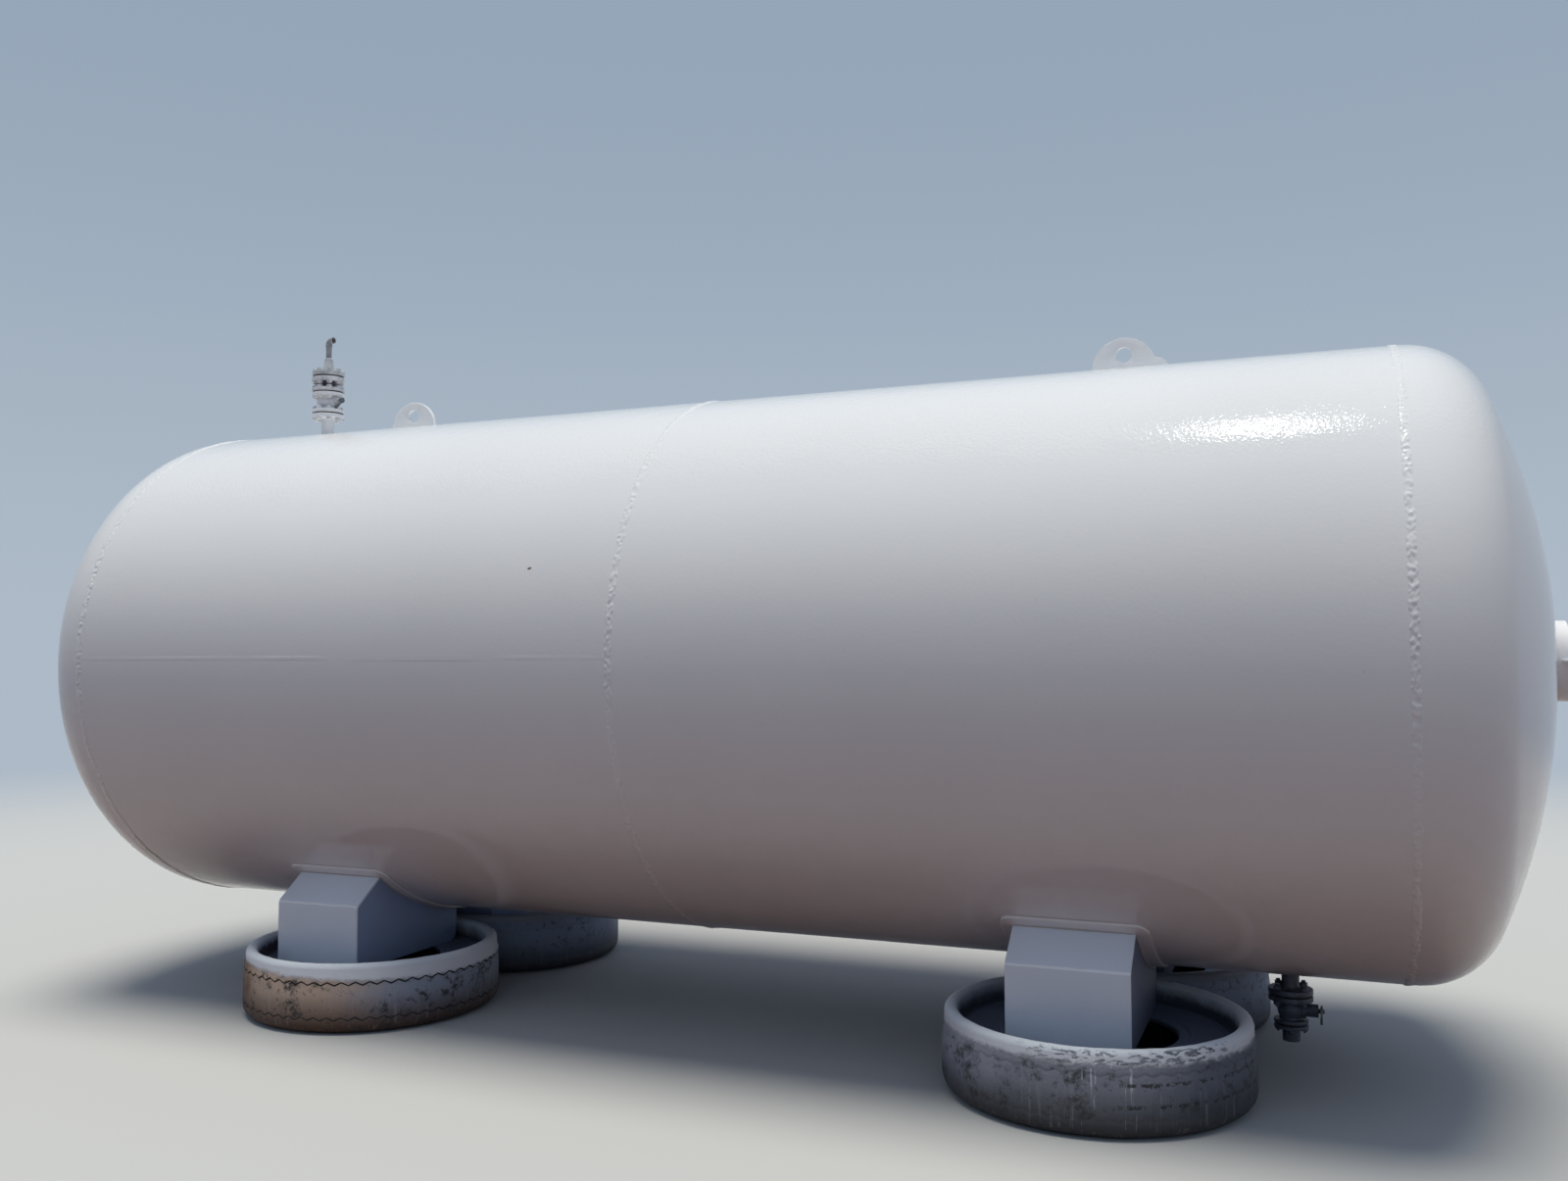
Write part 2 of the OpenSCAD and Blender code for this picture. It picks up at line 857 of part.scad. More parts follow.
module relief_valve() {
    color(paint)
        on_shell_top(relief_x)
            difference() {
                union() {
                    stack_flange(valve_z, valve_flange_t, relief_bore, -1);
                    translate([0, 0, valve_z])
                        cylinder(h = valve_h + 2 * valve_flange_t, d = valve_end_d);
                    barrel(valve_z + valve_flange_t, valve_h, valve_end_d, valve_d, valve_swell_l);
                    stack_flange(valve_z + valve_flange_t + valve_h, valve_flange_t, relief_bore, 1);
                    gland(stem_z, relief_gland_d, valve_d, relief_gland_x);
                }
                stem_hole(stem_z, relief_gland_x - stem_seat);
            }
}

// A lever lies in the plane just outside the flanges, fixed to its stem, and points to -Y or falls from it
module lever(z, x, l, w, hub_d, face_x, fall) {
    translate([x, 0, z])
        rotate([90, 0, 90])
            rotate([0, 0, fall]) {
                linear_extrude(lever_t)
                    difference() {
                        union() {
                            circle(d = hub_d);
                            translate([w / 2 - l, -w / 2])
                                square([l - w / 2, w]);
                            translate([w / 2 - l, 0])
                                circle(d = w);
                        }
                        translate([w / 2 - l, 0])
                            circle(d = w / 2);
                    }
                translate([0, 0, face_x - x - stem_seat + over])
                    cylinder(h = x - face_x + stem_seat - over + lever_t + stem_proud, d = stem_d);
            }
}

module relief_lever() {
    color(primer)
        on_shell_top(relief_x)
            lever(stem_z, relief_lever_x, relief_lever_l, relief_lever_w, relief_hub_d, relief_gland_x,
                relief_lever_fall);
}

module relief_neck() {
    color(primer)
        on_shell_top(relief_x) {
            stack_flange(neck_z, valve_flange_t, relief_bore, -1);
            pipe(neck_z, neck_top - neck_z, neck_d, (neck_d - neck_bore) / 2);
            stack_flange(neck_top - neck_flange_t, neck_flange_t, relief_bore, 1);
        }
}

module vent_flange() {
    color(primer)
        on_shell_top(relief_x) {
            stack_flange(vent_z, vent_flange_t, vent_bore, -1);
            hub(vent_z + vent_flange_t, cone_h, cone_d, cone_top_d, vent_bore);
        }
}

module vent_pipe() {
    color(primer)
        on_shell_top(relief_x)
            pipe(cone_top, vent_pipe_h, vent_pipe_d, vent_pipe_t);
}

// The elbow turns the vent towards +X, with a thick socket at each end and a wider bore in its mouth
module vent_elbow() {
    color(primer)
        on_shell_top(relief_x) {
            pipe(elbow_z, socket_l, socket_d, (socket_d - vent_bore) / 2);
            translate([elbow_r, 0, elbow_z + socket_l])
                rotate([90, -90, 0])
                    rotate_extrude(angle = 90, $fn = 96)
                        translate([elbow_r, 0])
                            difference() {
                                circle(d = vent_pipe_d + elbow_swell);
                                circle(d = vent_bore);
                            }
            translate([elbow_r, 0, elbow_z + socket_l + elbow_r])
                rotate([0, 90, 0])
                    pipe(0, socket_l, socket_d, (socket_d - mouth_d) / 2);
        }
}

drain_bore = drain_pipe_d - 2 * drain_pipe_t;
tail_bore = tail_pipe_d - 2 * tail_pipe_t;

module drain_flange(z, bore, face) {
    flange(z, drain_flange_d, drain_flange_t, bore, drain_pcd, 4, drain_hole_d, face, 45);
}

module tail_flange(z, bore, face) {
    flange(z, tail_flange_d, tail_flange_t, bore, tail_pcd, 4, tail_hole_d, face, 0);
}

module drain_nozzle() {
    color(paint) {
        under_shell(drain_x) {
            pipe(-nozzle_depth, nozzle_depth + drain_stub, drain_pipe_d, drain_pipe_t);
            drain_flange(drain_stub, drain_bore, 1);
        }
        difference() {
            under_shell(drain_x)
                hub(-fillet, 2 * fillet, drain_pipe_d + 4 * fillet, drain_pipe_d, drain_bore + 2);
            shell_bulk(shell_r);
        }
    }
}

module drain_gasket(z, flange_d, bore, pcd, hole_d, first) {
    flange(z, flange_d - 2 * gasket_inset, gasket_t, bore, pcd, 4, hole_d, 0, first);
}

module drain_gaskets() {
    color(gasket)
        under_shell(drain_x) {
            drain_gasket(drain_face, drain_flange_d, drain_bore, drain_pcd, drain_hole_d, 45);
            drain_gasket(tail_face, tail_flange_d, tail_bore + 2 * gasket_step, tail_pcd, tail_hole_d, 0);
        }
}

module drain_valve() {
    color(primer)
        under_shell(drain_x)
            difference() {
                union() {
                    drain_flange(drain_valve_z, drain_bore, -1);
                    translate([0, 0, drain_valve_z])
                        cylinder(h = drain_flange_t, d = drain_valve_end_d);
                    barrel(drain_valve_z + drain_flange_t, drain_valve_h, drain_valve_end_d, drain_valve_d,
                        drain_swell_l);
                    translate([0, 0, drain_valve_z + drain_flange_t + drain_valve_h])
                        cylinder(h = tail_flange_t, d = tail_pipe_d);
                    tail_flange(tail_face - tail_flange_t, tail_bore, 1);
                    gland(drain_stem_z, drain_gland_d, drain_valve_d, drain_gland_x);
                }
                stem_hole(drain_stem_z, drain_gland_x - stem_seat);
            }
}

module drain_lever() {
    color(primer)
        under_shell(drain_x)
            lever(drain_stem_z, drain_lever_x, drain_lever_l, drain_lever_w, drain_hub_d, drain_gland_x, 0);
}

module drain_tail() {
    color(primer)
        under_shell(drain_x) {
            tail_flange(tail_z, tail_bore, -1);
            pipe(tail_z, tail_flange_t + tail_pipe_h, tail_pipe_d, tail_pipe_t);
        }
}

// The crown's curve, as a disc about the crown's centre in a profile with its radius along X
module crown_disc() {
    translate([0, head_depth - crown_r])
        circle(r = crown_r, $fn = fine_fn);
}

// Turns a profile about the tank's axis, with its Y measured from the right girth weld
module on_head() {
    along_x(right_weld_x)
        rotate_extrude($fn = 96)
            children();
}

// The gauge collar is a short pipe that stands on the crown, cut to the crown's curve
module gauge_collar() {
    color(paint)
        on_head()
            difference() {
                translate([collar_d / 2 - collar_t, head_depth - crown_fall])
                    square([collar_t, collar_h + crown_fall]);
                crown_disc();
            }
}

// The gauge flange stands on the crown with a spigot through the head
module gauge_flange() {
    spigot_r = gauge_bore / 2;
    bore_r = spigot_r - gauge_wall;
    color(primer)
        difference() {
            on_head() {
                difference() {
                    translate([bore_r, head_depth - crown_fall])
                        square([gauge_d / 2 - bore_r, gauge_h + crown_fall]);
                    crown_disc();
                }
                translate([bore_r, head_depth - 2 * head_t])
                    square([gauge_wall, 2 * head_t + gauge_h]);
            }
            for (a = [45 : 90 : 315])
                along_x(crown_x + gauge_h - gauge_hole_depth)
                    rotate([0, 0, a])
                        translate([gauge_pcd / 2, 0, 0])
                            cylinder(h = gauge_hole_depth + over, d = gauge_hole_d, $fn = 32);
        }
}

// Two drilled lugs on the collar's sides, for a lid that is missing
module gauge_hinge_lugs() {
    color(paint)
        for (side = [-1, 1])
            difference() {
                translate([crown_x + collar_h - hinge_l, 0, axis_height - hinge_t / 2])
                    linear_extrude(hinge_t)
                        difference() {
                            union() {
                                lug_tip = collar_d / 2 + hinge_reach - hinge_l / 2;
                                translate([0, side > 0 ? 0 : -lug_tip])
                                    square([hinge_l, lug_tip]);
                                translate([hinge_l / 2, side * lug_tip])
                                    circle(d = hinge_l);
                            }
                            translate([hinge_l / 2, side * (collar_d / 2 + hinge_reach - hinge_l / 2)])
                                circle(d = hinge_hole_d);
                        }
                along_x(crown_x - far)
                    cylinder(h = 2 * far, d = collar_d, $fn = 96);
            }
}

left_tyre_x = left_leg_x + tyre_shift_left;
right_tyre_x = right_leg_x + tyre_shift_right;

shell_left();
shell_right();
head_left();
head_right();
girth_weld(left_weld_x, head_t, shell_t);  // girth_weld_left
girth_weld(mid_x, shell_t, shell_t);  // girth_weld_middle
girth_weld(right_weld_x, shell_t, head_t);  // girth_weld_right
seam_weld(left_weld_x, 180 - asin(seam_rise / shell_r));  // seam_weld_left
seam_weld(mid_x, asin(seam_rise / shell_r));  // seam_weld_right
leg_plate(left_leg_x, -1);  // leg_plate_near_left
leg_plate(right_leg_x, -1);  // leg_plate_near_right
leg_plate(left_leg_x, 1);  // leg_plate_far_left
leg_plate(right_leg_x, 1);  // leg_plate_far_right
leg_box(left_leg_x, -1);  // leg_box_near_left
leg_box(right_leg_x, -1);  // leg_box_near_right
leg_box(left_leg_x, 1);  // leg_box_far_left
leg_box(right_leg_x, 1);  // leg_box_far_right
leg_pad(left_leg_x, -1);  // leg_pad_near_left
leg_pad(right_leg_x, -1);  // leg_pad_near_right
leg_pad(left_leg_x, 1);  // leg_pad_far_left
leg_pad(right_leg_x, 1);  // leg_pad_far_right
tyre(left_tyre_x, -1);  // tyre_near_left
tyre(right_tyre_x, -1);  // tyre_near_right
tyre(left_tyre_x, 1);  // tyre_far_left
tyre(right_tyre_x, 1);  // tyre_far_right
lifting_lug_left();
lifting_lug_right();
relief_nozzle();
relief_gaskets();
relief_valve();
relief_lever();
relief_neck();
vent_flange();
vent_pipe();
vent_elbow();
drain_nozzle();
drain_gaskets();
drain_valve();
drain_lever();
drain_tail();
gauge_collar();
gauge_flange();
gauge_hinge_lugs();
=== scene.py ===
"""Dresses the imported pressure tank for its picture.

The scene is in metres in the CAD frame. Sizes and outlines here are in millimetres.
"""
import math

import bmesh
import bpy
from mathutils import Matrix, Vector


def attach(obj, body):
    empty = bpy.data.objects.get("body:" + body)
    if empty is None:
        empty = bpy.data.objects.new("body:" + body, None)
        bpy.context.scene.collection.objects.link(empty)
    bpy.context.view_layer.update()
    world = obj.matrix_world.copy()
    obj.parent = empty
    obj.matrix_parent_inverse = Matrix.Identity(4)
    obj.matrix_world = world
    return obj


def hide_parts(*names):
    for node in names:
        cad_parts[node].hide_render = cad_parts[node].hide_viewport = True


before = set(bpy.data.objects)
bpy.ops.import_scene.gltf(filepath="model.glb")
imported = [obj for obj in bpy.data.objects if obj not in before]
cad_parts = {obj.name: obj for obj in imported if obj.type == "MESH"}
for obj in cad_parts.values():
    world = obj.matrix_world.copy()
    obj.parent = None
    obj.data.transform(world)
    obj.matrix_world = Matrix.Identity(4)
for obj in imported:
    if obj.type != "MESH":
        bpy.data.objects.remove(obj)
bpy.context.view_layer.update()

MM = 0.001
SHELL_R = 1100
SHELL_T = 12
HEAD_T = 14
AXIS_Z = 1440
SHELL_TOP = AXIS_Z + SHELL_R
SHELL_BOTTOM = AXIS_Z - SHELL_R
COURSE = 2550
MID_X = -22.5
LEFT_X = MID_X - COURSE
RIGHT_X = MID_X + COURSE
CROWN_X = RIGHT_X + 475.83
LEG_XS = {"left": -1547.5, "right": 1502.5}
LEG_HALF_W = 202.5
LEG_INNER_Y = 137
LEG_OUTER_Y = 666
PAD_MARGIN = 46
PAD_CORNER_R = 44
TYRE_XS = {"left": -1481.5, "right": 1547.5}
TYRE_Y = 522
LUG_XS = {"left": -1710.5, "right": 1606.5}
SIDES = {"near": -1, "far": 1}
LUG_REACH = 119
ROUNDED_LUG_REACH = 168
RELIEF_X = -2232.5
DRAIN_X = 2156.5
PIPE_R = 30.15
PIPE_BORE_R = 26.25
FLANGE_R = 76
FLANGE_FACE_R = 47
BOLT_CIRCLE = 121
TAIL_FLANGE_R = 58.5
TAIL_FACE_R = 33
TAIL_BORE_R = 25.15
TAIL_BOLT_CIRCLE = 89
VENT_R = 13.45
VENT_BORE_R = 10.85
STEM_R = 8.4
COLLAR_R = 136.5
COLLAR_BORE_R = 127.5
COLLAR_H = 45
RELIEF_FOOT = (RELIEF_X, 0, SHELL_TOP)
DRAIN_FOOT = (DRAIN_X, 0, SHELL_BOTTOM)
UP = Vector((0, 0, 1))
DOWN = Vector((0, 0, -1))
ALONG = Vector((1, 0, 0))


# Tools of the bench

def nothing_selected():
    if bpy.context.mode != "OBJECT":
        bpy.ops.object.mode_set(mode="OBJECT")
    bpy.ops.object.select_all(action="DESELECT")


def only(piece):
    nothing_selected()
    piece.select_set(True)
    bpy.context.view_layer.objects.active = piece


def edit(piece):
    only(piece)
    bpy.ops.object.mode_set(mode="EDIT")
    bpy.ops.mesh.select_mode(type="VERT")
    bpy.ops.mesh.select_all(action="SELECT")


def done():
    bpy.ops.object.mode_set(mode="OBJECT")


def pick(piece, test):
    """Selects the vertices of the edited piece that pass the test."""
    bpy.ops.mesh.select_all(action="DESELECT")
    shape = bmesh.from_edit_mesh(piece.data)
    for vert in shape.verts:
        if test(vert):
            vert.select_set(True)
    shape.select_flush_mode()
    bmesh.update_edit_mesh(piece.data)


def drawn(name, points, closed):
    """A line of edges, drawn from point to point."""
    nothing_selected()
    bpy.ops.mesh.primitive_plane_add(size=MM)
    piece = bpy.context.object
    piece.name = name
    piece.data.name = name
    edit(piece)
    bpy.ops.mesh.merge(type="CENTER")
    bpy.ops.transform.translate(value=points[0])
    for here, there in zip(points, points[1:]):
        bpy.ops.mesh.extrude_vertices_move(TRANSFORM_OT_translate={"value": there - here})
    if closed:
        pick(piece, lambda vert: len(vert.link_edges) == 1)
        bpy.ops.mesh.edge_face_add()
    done()
    return piece


def side_of(up):
    return UP if abs(up.x) > 0.5 else ALONG


def turned(name, outline, foot, up, steps, closed=True):
    """Turns an outline of (height, radius) on the lathe, about an axis that leaves the foot upwards."""
    foot = Vector(foot) * MM
    points = [foot + (up * height + side_of(up) * radius) * MM for height, radius in outline]
    piece = drawn(name, points, closed)
    edit(piece)
    bpy.ops.mesh.spin(steps=steps, angle=math.tau, center=foot, axis=up)
    bpy.ops.mesh.select_all(action="SELECT")
    bpy.ops.mesh.remove_doubles(threshold=0.02 * MM)
    bpy.ops.mesh.normals_make_consistent(inside=False)
    done()
    return piece


def eased(outline, radius):
    """Rounds the sharp corners of a closed outline."""
    parts = 3
    nearly_straight = math.radians(155)
    made = []
    for i, corner in enumerate(outline):
        here = Vector(corner)
        back = Vector(outline[i - 1]) - here
        ahead = Vector(outline[(i + 1) % len(outline)]) - here
        if back.angle(ahead, 0) > nearly_straight:
            made.append(here)
            continue
        reach = min(radius, 0.4 * back.length, 0.4 * ahead.length)
        start = here + back.normalized() * reach
        end = here + ahead.normalized() * reach
        for k in range(parts + 1):
            share = k / parts
            made.append(start * (1 - share) ** 2 + here * 2 * share * (1 - share) + end * share ** 2)
    return [tuple(point) for point in made]


def arc(centre, radius, start, end, parts):
    """Points of an arc in an outline, with its angles from the radius towards the height."""
    angles = [math.radians(start + (end - start) * k / parts) for k in range(parts + 1)]
    return [(centre[0] + radius * math.sin(a), centre[1] + radius * math.cos(a)) for a in angles]


def with_modifier(piece, kind, **settings):
    only(piece)
    bpy.ops.object.modifier_add(type=kind)
    modifier = piece.modifiers[-1]
    for key, value in settings.items():
        setattr(modifier, key, value)
    bpy.ops.object.modifier_apply(modifier=modifier.name)


def roughened(piece, size, depth, mid=0.5, detail=2):
    """Pushes the surface in and out by clouds of that grain size and depth, in millimetres."""
    texture = bpy.data.textures.new(piece.name, "CLOUDS")
    texture.noise_scale = size * MM
    texture.noise_depth = detail
    with_modifier(
        piece, "DISPLACE", texture=texture, strength=depth * MM, mid_level=mid, texture_coords="LOCAL"
    )


def joined(name, pieces):
    nothing_selected()
    for piece in pieces:
        piece.select_set(True)
    bpy.context.view_layer.objects.active = pieces[0]
    if len(pieces) > 1:
        bpy.ops.object.join()
    pieces[0].name = name
    pieces[0].data.name = name
    return pieces[0]


def copied(piece, name):
    twin = bpy.data.objects.new(name, piece.data.copy())
    bpy.context.scene.collection.objects.link(twin)
    return twin


def softened(name, width, parts=2):
    """A copy of a CAD node with its sharp edges broken."""
    flat = math.radians(0.6)
    sharp = math.radians(32)
    piece = copied(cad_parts[name], name)
    normals = piece.data.attributes.get("custom_normal")
    if normals:
        piece.data.attributes.remove(normals)
    edit(piece)
    bpy.ops.mesh.remove_doubles(threshold=0.01 * MM)
    bpy.ops.mesh.dissolve_limited(angle_limit=flat)
    done()
    with_modifier(
        piece, "BEVEL", width=width * MM, segments=parts, limit_method="ANGLE",
        angle_limit=sharp, miter_outer="MITER_ARC", use_clamp_overlap=True,
    )
    return piece


def weld_bead(name, points, radius, closed=False):
    """A lumpy bead of weld along a line, in millimetres."""
    line = drawn(name, [Vector(point) * MM for point in points], closed)
    only(line)
    bpy.ops.object.convert(target="CURVE")
    line = bpy.context.object
    line.data.bevel_depth = radius * MM
    line.data.bevel_resolution = 4
    line.data.use_fill_caps = not closed
    bpy.ops.object.convert(target="MESH")
    line = bpy.context.object
    line.name = name
    roughened(line, 9, radius * 0.7)
    return line


def placed(piece, material, body="tank", nodes=(), angle=35):
    """Gives a finished piece its paint and its ride, and hides the CAD nodes it stands in for."""
    piece.data.materials.clear()
    piece.data.materials.append(material)
    only(piece)
    bpy.ops.object.shade_smooth_by_angle(angle=math.radians(angle))
    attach(piece, body)
    if nodes:
        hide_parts(*nodes)
    return piece


# Shader tools

def add_node(tree, kind, inputs=None, **settings):
    """A shader node with its settings; an input is a value or another node's output."""
    made = tree.nodes.new(kind)
    for key, value in settings.items():
        setattr(made, key, value)
    for key, value in (inputs or {}).items():
        if isinstance(value, bpy.types.NodeSocket):
            tree.links.new(value, made.inputs[key])
        else:
            made.inputs[key].default_value = value
    return made


def maths(tree, operation, first, second=0.0, clamp=False):
    made = add_node(tree, "ShaderNodeMath", {0: first, 1: second}, operation=operation, use_clamp=clamp)
    return made.outputs[0]


def ramp(tree, value, low, high):
    """Nought below the low value and one above the high one, with a soft step between."""
    made = add_node(
        tree, "ShaderNodeMapRange", {"Value": value, "From Min": low, "From Max": high},
        interpolation_type="SMOOTHSTEP",
    )
    return made.outputs["Result"]


def both(tree, first, *others):
    """Where all of the masks are."""
    for other in others:
        first = maths(tree, "MULTIPLY", first, other)
    return first


def noise_of(tree, place, scale, detail, roughness=0.5):
    inputs = {"Vector": place, "Scale": scale, "Detail": detail, "Roughness": roughness}
    return add_node(tree, "ShaderNodeTexNoise", inputs).outputs["Fac"]


def mixed(tree, share, first, second):
    """A blend of two colours."""
    made = add_node(tree, "ShaderNodeMix", {0: share, 6: first, 7: second}, data_type="RGBA")
    return made.outputs[2]


def object_place(tree):
    return add_node(tree, "ShaderNodeTexCoord").outputs["Object"]


def axes_of(tree, vector):
    return add_node(tree, "ShaderNodeSeparateXYZ", {"Vector": vector}).outputs


def upward_of(tree):
    return axes_of(tree, add_node(tree, "ShaderNodeNewGeometry").outputs["Normal"])["Z"]


def centred_on(tree, centre):
    """Places measured from an upright axis through that centre."""
    inputs = {"Vector": object_place(tree), "Location": (-centre[0], -centre[1], 0)}
    return add_node(tree, "ShaderNodeMapping", inputs).outputs[0]


def stretched(tree, place, scale):
    return add_node(tree, "ShaderNodeMapping", {"Vector": place, "Scale": scale}).outputs[0]


def distance_from_axis(tree, centre):
    inputs = {0: centred_on(tree, centre), 1: (1, 1, 0)}
    flat = add_node(tree, "ShaderNodeVectorMath", inputs, operation="MULTIPLY").outputs[0]
    return add_node(tree, "ShaderNodeVectorMath", {0: flat}, operation="LENGTH").outputs["Value"]


def group(name, inputs, output):
    """An empty shader group with named number inputs and one number output."""
    tree = bpy.data.node_groups.new(name, "ShaderNodeTree")
    for label, default in inputs.items():
        socket = tree.interface.new_socket(label, in_out="INPUT", socket_type="NodeSocketFloat")
        socket.default_value = default
    tree.interface.new_socket(output, in_out="OUTPUT", socket_type="NodeSocketFloat")
    entry = tree.nodes.new("NodeGroupInput")
    leave = tree.nodes.new("NodeGroupOutput")
    return tree, entry.outputs, leave.inputs[output]


def peel_group():
    """Orange peel of sprayed paint: fine ripples over a slow swell."""
    tree, given, out = group("orange_peel", {"Scale": 110.0}, "Height")
    place = object_place(tree)
    fine = noise_of(tree, place, given["Scale"], 1.0)
    slow = noise_of(tree, place, maths(tree, "MULTIPLY", given["Scale"], 0.12), 2.0)
    tree.links.new(maths(tree, "ADD", fine, maths(tree, "MULTIPLY", slow, 1.6)), out)
    return tree


def dust_group():
    """Road dust: thick near the ground, thin above, and caught by what faces up."""
    tree, given, out = group(
        "road_dust", {"Full height": 0.2, "Clear height": 1.2, "Ledges": 0.3, "Grain": 9.0}, "Mask"
    )
    place = object_place(tree)
    limits = {"From Min": given["Clear height"], "From Max": given["Full height"]}
    height = axes_of(tree, place)["Z"]
    low = add_node(tree, "ShaderNodeMapRange", {"Value": height, **limits}).outputs["Result"]
    ledge = maths(tree, "MULTIPLY", ramp(tree, upward_of(tree), 0.35, 0.95), given["Ledges"])
    patchy = ramp(tree, noise_of(tree, place, given["Grain"], 6.0, 0.65), 0.2, 0.75)
    dust = maths(tree, "ADD", low, ledge, clamp=True)
    tree.links.new(maths(tree, "MULTIPLY", dust, patchy, clamp=True), out)
    return tree


def speck_group():
    """Scattered small specks of dirt."""
    tree, given, out = group("specks", {"Scale": 60.0, "Share": 0.2, "Size": 0.16}, "Mask")
    cells = add_node(tree, "ShaderNodeTexVoronoi", {"Vector": object_place(tree), "Scale": given["Scale"]})
    number = add_node(tree, "ShaderNodeSeparateColor", {"Color": cells.outputs["Color"]}).outputs["Red"]
    chosen = maths(tree, "LESS_THAN", number, given["Share"])
    spot = maths(tree, "LESS_THAN", cells.outputs["Distance"], given["Size"])
    tree.links.new(maths(tree, "MULTIPLY", chosen, spot), out)
    return tree


PEEL = peel_group()
DUST = dust_group()
SPECKS = speck_group()


def uses(tree, shared, inputs, output):
    made = tree.nodes.new("ShaderNodeGroup")
    made.node_tree = shared
    for key, value in inputs.items():
        made.inputs[key].default_value = value
    return made.outputs[output]


def new_material(name, **constants):
    material = bpy.data.materials.new(name)
    material.use_nodes = True
    shader = material.node_tree.nodes["Principled BSDF"]
    for key, value in constants.items():
        shader.inputs[key.replace("_", " ")].default_value = value
    return material, material.node_tree, shader


def bumped(tree, shader, height, distance):
    bump = add_node(tree, "ShaderNodeBump", {"Height": height, "Distance": distance})
    tree.links.new(bump.outputs["Normal"], shader.inputs["Normal"])


# Paints

DIRT = (0.16, 0.13, 0.1, 1)
CORE_GREY_AND_SHADE = (0.14, 0.145, 0.16, 1)
DUST_BROWN = (0.33, 0.25, 0.19, 1)
PURE_WHITE = (1, 1, 1, 1)
CHIP_PLACE = (-0.379, -1.045, 1.785)
CHIP_R = 0.0125
FOLD_Z = 0.449
PEEL_SCALE = 85.0
STACK_CORE_R = 0.045


def shade_of(colour, share):
    """The same colour, darker by that share."""
    return tuple(share * part for part in colour[:3]) + (1,)


def chip_mask(tree, place):
    """A ragged spot where the paint has come off."""
    reach = add_node(tree, "ShaderNodeVectorMath", {0: place, 1: CHIP_PLACE}, operation="DISTANCE")
    ragged = maths(tree, "MULTIPLY", noise_of(tree, place, 90.0, 4.0), 0.012)
    reach = maths(tree, "ADD", reach.outputs["Value"], ragged)
    return maths(tree, "LESS_THAN", reach, CHIP_R)


def fold_wear_and_highlight_mask(tree, place):
    """A thin pale line along the fold of a leg's front plate: a painted highlight of the bend, partly worn
    paint.
    """
    wander = maths(tree, "MULTIPLY", noise_of(tree, place, 14.0, 3.0), 0.008)
    height = maths(tree, "SUBTRACT", axes_of(tree, place)["Z"], wander)
    off_fold = maths(tree, "ABSOLUTE", maths(tree, "SUBTRACT", height, FOLD_Z))
    return ramp(tree, off_fold, 0.005, 0.0025)


def enamel(name, colour, dust=0.12, rough=0.08, peel=0.0009, high=1.3, chip=False, fold=False):
    """Sprayed enamel, wet and glossy, with a little road dust below and its coarsest peel on top."""
    material, tree, shader = new_material(name, IOR=1.5)
    place = object_place(tree)
    deeper = shade_of(colour, 0.965)
    paint = mixed(tree, ramp(tree, noise_of(tree, place, 0.8, 2.0), 0.3, 0.75), colour, deeper)
    dirt = uses(tree, DUST, {"Full height": 0.1, "Clear height": high, "Ledges": 0.02}, "Mask")
    dirt = maths(tree, "MULTIPLY", dirt, dust)
    dusty = mixed(tree, dirt, paint, DUST_BROWN)
    specks = uses(tree, SPECKS, {"Scale": 38.0, "Share": 0.05, "Size": 0.06}, "Mask")
    specks = maths(tree, "MULTIPLY", specks, 0.5)
    if chip:
        specks = maths(tree, "MAXIMUM", specks, chip_mask(tree, place))
    painted = mixed(tree, specks, dusty, DIRT)
    # A white line along the leg's fold: painted highlight of the bend, partly worn paint.
    if fold:
        painted = mixed(tree, fold_wear_and_highlight_mask(tree, place), painted, PURE_WHITE)
    tree.links.new(painted, shader.inputs["Base Color"])
    gloss = maths(tree, "ADD", maths(tree, "MULTIPLY", dirt, 0.5), rough)
    tree.links.new(gloss, shader.inputs["Roughness"])
    thick = maths(tree, "MULTIPLY", ramp(tree, axes_of(tree, place)["Z"], 2.05, 2.18), 0.9)
    ripples = uses(tree, PEEL, {"Scale": PEEL_SCALE}, "Height")
    bumped(tree, shader, maths(tree, "MULTIPLY", ripples, maths(tree, "ADD", thick, 0.3)), peel)
    return material


def primer(name, colour, overspray, rough=0.5, spray_colour=(0.6, 0.62, 0.64, 1), core=0.0):
    """Primer that caught some of the white spray; within the core's radius the stack is dark: dark pipe
    primer with painted shade of the recess between its flanges.
    """
    material, tree, shader = new_material(name)
    place = object_place(tree)
    tone = noise_of(tree, place, 22.0, 5.0, 0.6)
    darker = shade_of(colour, 0.65)
    base = mixed(tree, ramp(tree, tone, 0.35, 0.7), colour, darker)
    spray = ramp(tree, noise_of(tree, place, 46.0, 6.0, 0.7), 0.48, 0.66)
    sprayed = mixed(tree, maths(tree, "MULTIPLY", spray, overspray), base, spray_colour)
    # Darker within the core: dark pipe primer with painted shade of the recess between the neck's flanges.
    if core:
        from_axis = distance_from_axis(tree, (RELIEF_X * MM, 0))
        sprayed = mixed(tree, maths(tree, "LESS_THAN", from_axis, core), sprayed, CORE_GREY_AND_SHADE)
    tree.links.new(sprayed, shader.inputs["Base Color"])
    gloss = maths(tree, "ADD", maths(tree, "MULTIPLY", tone, 0.25), rough - 0.12)
    tree.links.new(gloss, shader.inputs["Roughness"])
    bumped(tree, shader, noise_of(tree, place, 420.0, 4.0, 0.6), 0.0003)
    return material


